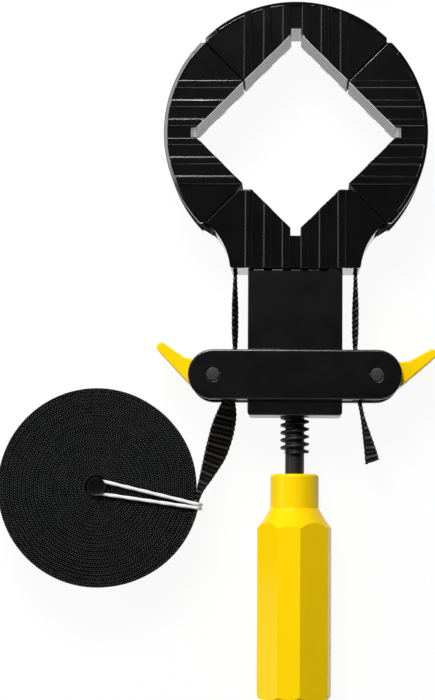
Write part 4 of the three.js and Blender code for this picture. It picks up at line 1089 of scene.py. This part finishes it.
def handle_form():
    corner = math.hypot(HANDLE_WIDE_FACE, HANDLE_NARROW_FACE * math.sqrt(2) - HANDLE_WIDE_FACE)
    bottom = HANDLE_TOP_Y - HANDLE_LENGTH
    flare_top = HANDLE_TOP_Y - HANDLE_COLLAR_LENGTH
    flare_low = flare_top - HANDLE_FLARE_LENGTH
    edge, reach = HANDLE_END_RADIUS, HANDLE_BUTT_REACH
    socket = SHANK_RADIUS + CLEARANCE
    collar = HANDLE_COLLAR_RADIUS
    profile = [
        (0, HANDLE_TOP_Y - TANG_LENGTH - CLEARANCE),
        (socket, HANDLE_TOP_Y - TANG_LENGTH - CLEARANCE),
        (socket, HANDLE_TOP_Y - HANDLE_SOCKET_CHAMFER),
        (socket + HANDLE_SOCKET_CHAMFER, HANDLE_TOP_Y),
    ]
    quarter = [math.pi / 2 * i / 6 for i in range(7)]
    for angle in quarter:
        radius = collar - edge + edge * math.sin(angle)
        profile.append((radius, HANDLE_TOP_Y - edge + edge * math.cos(angle)))
    for i in range(9):
        ease = i / 8
        radius = collar + (corner - collar) * ease**HANDLE_FLARE_CURVE
        profile.append((radius, flare_top + (flare_low - flare_top) * ease))
    for angle in quarter:
        radius = corner - reach + reach * math.cos(angle)
        profile.append((radius, bottom + HANDLE_BUTT_LENGTH * (1 - math.sin(angle))))
    profile.append((0, bottom))
    return turned(profile, HANDLE_STEPS, SPINDLE_PLACE, SPINDLE_AXIS)


def handle():
    bm = handle_form()
    for face in range(8):
        reach = HANDLE_NARROW_FACE if face % 2 == 0 else HANDLE_WIDE_FACE
        angle = math.radians(45 * face + HANDLE_TURN)
        normal = Vector((math.cos(angle), 0, -math.sin(angle)))
        cut_flat(bm, metres(*SPINDLE_PLACE) + normal * reach * MM, normal)
    closed(bm)
    collar_low = (HANDLE_TOP_Y - HANDLE_COLLAR_LENGTH) * MM
    found = sharp_edges(bm, HANDLE_EDGE_ANGLE)
    bmesh.ops.bevel(
        bm,
        geom=[edge for edge in found if edge.verts[0].co.y < collar_low],
        offset=HANDLE_EDGE_RADIUS * MM,
        offset_type="OFFSET",
        affect="EDGES",
        segments=HANDLE_EDGE_STEPS,
        profile=0.5,
        material=-1,
        clamp_overlap=True,
    )
    made = piece("handle_grip", bm, "yellow_plastic", GRIP_SMOOTH_ANGLE)
    even_shading(made)
    stands_in(made, "handle", "spindle")


# Spindle: a thread carried up a helix, its plain shank, its tang and its button

THREAD_RADIUS = 6.55
THREAD_ROOT_RADIUS = 4.4
THREAD_PITCH = 3.4
THREAD_CREST_WIDTH = 1.0
THREAD_BASE_WIDTH = 2.2
THREAD_EASE = 0.18
THREAD_SLIP = 0.3 * THREAD_EASE
THREAD_BOTTOM_Y = -34.9
RAM_LENGTH = 32.6
RAM_FLOOR = 2.5
RAM_BOTTOM_Y = HEAD_BASE_Y - RAM_LENGTH
TIP_NECK_LENGTH = 3.0
TIP_NECK_RADIUS = 3.8
THREAD_TOP_Y = RAM_BOTTOM_Y - TIP_NECK_LENGTH
BUTTON_RADIUS = 5.5
BUTTON_HEIGHT = 2.9
BUTTON_RIM = 0.3
BUTTON_BOTTOM_Y = RAM_BOTTOM_Y + RAM_FLOOR + CLEARANCE
BUTTON_TOP_Y = BUTTON_BOTTOM_Y + BUTTON_HEIGHT
TANG_CHAMFER = 0.4
THREAD_STEPS = 40
THREAD_PHASE = -1.0
SPARE_TURNS = 3
SPINDLE_STEPS = 48


def thread_form():
    """One pitch of the profile spun up the helix, then cut square at both ends."""
    base, crest = THREAD_BASE_WIDTH / 2, THREAD_CREST_WIDTH / 2
    ease, slip = THREAD_EASE, THREAD_SLIP
    upper = [
        (THREAD_RADIUS, crest - ease),
        (THREAD_RADIUS - ease, crest + slip),
        (THREAD_ROOT_RADIUS + ease, base - slip),
        (THREAD_ROOT_RADIUS, base + ease),
        (THREAD_ROOT_RADIUS, THREAD_PITCH / 2),
    ]
    section = [*[(r, -y) for r, y in reversed(upper)], *upper]
    turns = math.ceil((THREAD_TOP_Y - THREAD_BOTTOM_Y) / THREAD_PITCH) + SPARE_TURNS
    start = (math.floor(THREAD_BOTTOM_Y / THREAD_PITCH) - 1) * THREAD_PITCH + THREAD_PHASE
    bm = bmesh.new()
    verts = [bm.verts.new(metres(0, start + y, MID_Z + r)) for r, y in section]
    edges = [bm.edges.new(pair) for pair in zip(verts, verts[1:])]
    bmesh.ops.spin(
        bm,
        geom=verts + edges,
        cent=metres(*SPINDLE_PLACE),
        axis=SPINDLE_AXIS,
        dvec=metres(0, THREAD_PITCH / THREAD_STEPS, 0),
        angle=2 * math.pi * turns,
        steps=turns * THREAD_STEPS,
    )
    bmesh.ops.remove_doubles(bm, verts=bm.verts, dist=THREAD_MERGE * MM)
    for height, side in ((THREAD_BOTTOM_Y, -1), (THREAD_TOP_Y, 1)):
        cut_flat(bm, metres(0, height, MID_Z), (0, side, 0))
    closed(bm)
    return bm


def spindle():
    thread = piece("spindle_thread", thread_form(), "black_steel", THREAD_SMOOTH_ANGLE)
    tang_low = HANDLE_TOP_Y - TANG_LENGTH
    shank = [
        (0, tang_low),
        (SHANK_RADIUS - TANG_CHAMFER, tang_low),
        (SHANK_RADIUS, tang_low + TANG_CHAMFER),
        (SHANK_RADIUS, THREAD_BOTTOM_Y),
        (0, THREAD_BOTTOM_Y),
    ]
    button = [
        (0, THREAD_TOP_Y),
        (TIP_NECK_RADIUS, THREAD_TOP_Y),
        (TIP_NECK_RADIUS, BUTTON_BOTTOM_Y),
        *drum(BUTTON_RADIUS, BUTTON_BOTTOM_Y, BUTTON_TOP_Y, BUTTON_RIM),
        (0, BUTTON_TOP_Y),
    ]
    parts = [thread]
    for name, profile in (("spindle_shank", shank), ("spindle_button", button)):
        form = turned(profile, SPINDLE_STEPS, SPINDLE_PLACE, SPINDLE_AXIS)
        parts.append(piece(name, form, "black_steel"))
    for part in parts:
        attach(part, "spindle")
    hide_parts("spindle")


# Pivot pins, and the small solids inside that keep their shape

PIN_RADIUS = 3.1
PIN_RECESS = 0.4
PIN_RIM = 0.35
PIN_RIM_CUT = 0.3 * PIN_RIM


def pivot_pin(name, side):
    low, high = PIN_RECESS, CLAMP_DEPTH - PIN_RECESS
    profile = [(0, low), *drum(PIN_RADIUS, low, high, PIN_RIM), (0, high)]
    profile.insert(-2, (PIN_RADIUS - PIN_RIM_CUT, high - PIN_RIM_CUT))
    form = turned(profile, TURNING_STEPS, (side * PIVOT_X, 0, 0))
    made = piece(f"pivot_pin_{name}_turning", form, "grey_steel")
    even_shading(made)
    stands_in(made, f"pivot_pin_{name}", "housing")


def carried_over():
    """Solids that stay as they are, with a finish of their own."""
    for node, slot in {
        "spindle_nut": "brass",
        "thrust_washer": "bright_steel",
        "lever_spring_left": "bright_steel",
        "lever_spring_right": "bright_steel",
    }.items():
        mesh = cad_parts[node].data
        mesh.materials.clear()
        mesh.materials.append(FINISHES[slot])


# How far each edge of a rigid part is rounded

LIP_ROUNDING = 0.25
CREST_ROUNDING = 0.5
SHADE_ROUNDING = 0.7
WAIST_WALL_X = 24.0
WAIST_WALL_TOP_Y = WAIST_TIP.y + 1
SLOT_HALF_WIDTH = 2.25
SLOT_MARGIN = 0.5
SLOT_SIDE = 0.05
SLOT_ROUNDING = 0.03
RIM_REACH = RING_RADIUS - 0.1
LAST_RIB_SIDE = 23.0
CREST_LEVEL = CLAMP_DEPTH - SAME_LEVEL
COLUMN_ROUNDING = 0.5
ARM_ROUNDING = 0.6
FINE_ROUNDING = 0.2
SCREW_ROUNDING = 0.12
COLUMN_FRONT_Z = 32.0
LEVER_ARM_X = PIVOT_X + 1
FACING = 0.5


def edge_levels(edge):
    return sorted(vert.co.z / MM for vert in edge.verts)


def rim_reach(edge):
    """How near an edge comes to the ring's middle."""
    middle = Vector((0, RING_CENTRE_Y))
    return min((vert.co.xy / MM - middle).length for vert in edge.verts)


def slot_reach(edge):
    """How far an edge comes from its jaw's own middle plane."""
    places = [vert.co / MM for vert in edge.verts]
    return max(min(abs(at.x), abs(at.y - RING_CENTRE_Y)) for at in places)


def rib_rounding(edge, level):
    """A rib's long edge: crisp towards the light, rounder away from it, and small at its root."""
    walls = [face.normal for face in edge.link_faces if abs(face.normal.z) < FACING]
    if level < CREST_LEVEL or not walls:
        return FINE_ROUNDING
    away = walls[0].x > FACING or walls[0].y < -FACING
    return SHADE_ROUNDING if away else CREST_ROUNDING


def jaw_rounding(edge):
    """Roundest on the ribs' long edges; the relief slot and the thin waist walls stay sharp."""
    low, high = edge_levels(edge)
    aside = slot_reach(edge)
    first, second = [vert.co / MM for vert in edge.verts]
    below_tip = max(first.y, second.y) < WAIST_WALL_TOP_Y
    if below_tip and min(abs(first.x), abs(second.x)) > WAIST_WALL_X:
        return 0.0
    straight = min(abs(first.x - second.x), abs(first.y - second.y)) < SAME_LEVEL
    level = high - low < SAME_LEVEL and low > CLAMP_DEPTH - RIB_HEIGHT - SAME_LEVEL
    crest = straight and level and low > CREST_LEVEL
    beside_slot = crest and aside > SLOT_HALF_WIDTH + SLOT_SIDE
    if aside < SLOT_HALF_WIDTH + SLOT_MARGIN and not beside_slot:
        return SLOT_ROUNDING if aside > SLOT_HALF_WIDTH - SLOT_SIDE else 0.0
    if low > CREST_LEVEL and rim_reach(edge) > RIM_REACH:
        return LIP_ROUNDING
    along_rib = straight and level and aside < LAST_RIB_SIDE
    return rib_rounding(edge, low) if along_rib else FINE_ROUNDING


def housing_rounding(edge):
    low, _ = edge_levels(edge)
    front = abs(low - COLUMN_FRONT_Z) < SAME_LEVEL
    return COLUMN_ROUNDING if front and edge.is_convex else FINE_ROUNDING


def lever_rounding(edge):
    outer = min(abs(vert.co.x) / MM for vert in edge.verts)
    return ARM_ROUNDING if outer > LEVER_ARM_X else FINE_ROUNDING


def screw_rounding(edge):
    return SCREW_ROUNDING


def rigid_parts():
    for name in ("top", "left", "right"):
        softened(f"corner_jaw_{name}", "black_plastic", f"jaw_{name}", jaw_rounding, JAW_FINISH)
    softened("head_jaw", "black_plastic", "head", jaw_rounding, JAW_FINISH)
    for name in ("front", "rear"):
        softened(f"housing_{name}_shell", "black_plastic", "housing", housing_rounding)
    for name in ("left", "right"):
        softened(f"lever_{name}", "yellow_plastic", f"lever_{name}", lever_rounding)
    for i in range(1, 5):
        softened(f"housing_screw_{i}", "bright_steel", "housing", screw_rounding)
    pivot_pin("left", -1)
    pivot_pin("right", 1)


# Floor, walls and light

COVE_RADIUS = 4000.0
COVE_HEIGHT = 800.0
COVE_BEND = 400.0
COVE_BEND_STEPS = 8
COVE_STEPS = 64
COVE_WHITE = 0.94
FLOOR_DROP = 0.2


def studio_white():
    """White to the camera and in reflections, and a plain matt floor for light and shadow."""
    white = (COVE_WHITE, COVE_WHITE, COVE_WHITE, 1)
    finish = Finish("studio_white", Base_Color=white, Roughness=0.9, Specular_IOR_Level=0.0)
    tree = finish.tree
    glow = finish.node("ShaderNodeEmission", {}, {"Color": (1, 1, 1, 1), "Strength": 1.0})
    ray = tree.nodes.new("ShaderNodeLightPath")
    seen = Value(finish, ray.outputs["Is Camera Ray"])
    for kind in ("Is Glossy Ray", "Is Transmission Ray"):
        seen = seen.above(Value(finish, ray.outputs[kind]))
    plain = Value(finish, finish.shader.outputs[0])
    mixed = finish.node("ShaderNodeMixShader", {}, {0: seen * COVE_WHITE, 1: plain, 2: glow})
    output = next(node for node in tree.nodes if node.type == "OUTPUT_MATERIAL")
    tree.links.new(mixed.socket, output.inputs["Surface"])
    return finish.material


def studio_cove():
    profile = [(0, -FLOOR_DROP), (COVE_RADIUS - COVE_BEND, -FLOOR_DROP)]
    for i in range(1, COVE_BEND_STEPS + 1):
        angle = math.pi / 2 * i / COVE_BEND_STEPS
        reach = COVE_RADIUS - COVE_BEND + COVE_BEND * math.sin(angle)
        profile.append((reach, COVE_BEND * (1 - math.cos(angle))))
    profile.append((COVE_RADIUS, COVE_HEIGHT))
    bm = turned(profile, COVE_STEPS)
    downward = [face for face in bm.faces if face.normal.z < -FACING]
    bmesh.ops.reverse_faces(bm, faces=downward)
    cove = placed("studio_cove", bm, studio_white())


# Lamps: direction, distance, width and height in metres, and power in watts
LAMPS = {
    "key_softbox": ((-0.16, 0.6, 0.78), 1.6, 0.55, 0.55, 30.5),
    "side_strip": ((-0.837, 0.305, 0.455), 1.5, 2.0, 0.32, 10.0),
    "low_softbox": ((0.06, -0.62, 0.78), 1.7, 0.4, 0.4, 1.3),
    "fill_softbox": ((0.62, -0.1, 0.78), 2.2, 2.0, 2.0, 0.4),
}
LAMP_AIM = (-30.0, 10.0, 20.0)
AIR_TONE = (0.02, 0.02, 0.021, 1)


def softbox(name, direction, distance, width, height, power):
    lamp = bpy.data.lights.new(name, "AREA")
    lamp.shape = "RECTANGLE"
    lamp.size, lamp.size_y = width, height
    lamp.energy = power
    made = bpy.data.objects.new(name, lamp)
    towards = Vector(direction).normalized()
    made.location = metres(*LAMP_AIM) + towards * distance
    made.rotation_euler = towards.to_track_quat("Z", "Y").to_euler()
    bpy.context.scene.collection.objects.link(made)


def studio_light():
    for name, lamp in LAMPS.items():
        softbox(name, *lamp)
    world = bpy.data.worlds.new("studio_air")
    world.use_nodes = True
    world.node_tree.nodes["Background"].inputs["Color"].default_value = AIR_TONE
    bpy.context.scene.world = world
    bpy.context.scene.view_settings.view_transform = "Standard"


add_camera()
band_lead()
band_coil()
band_tail()
loop_band()
coil_peg()
elastic_tie()
handle()
spindle()
rigid_parts()
carried_over()
studio_cove()
studio_light()
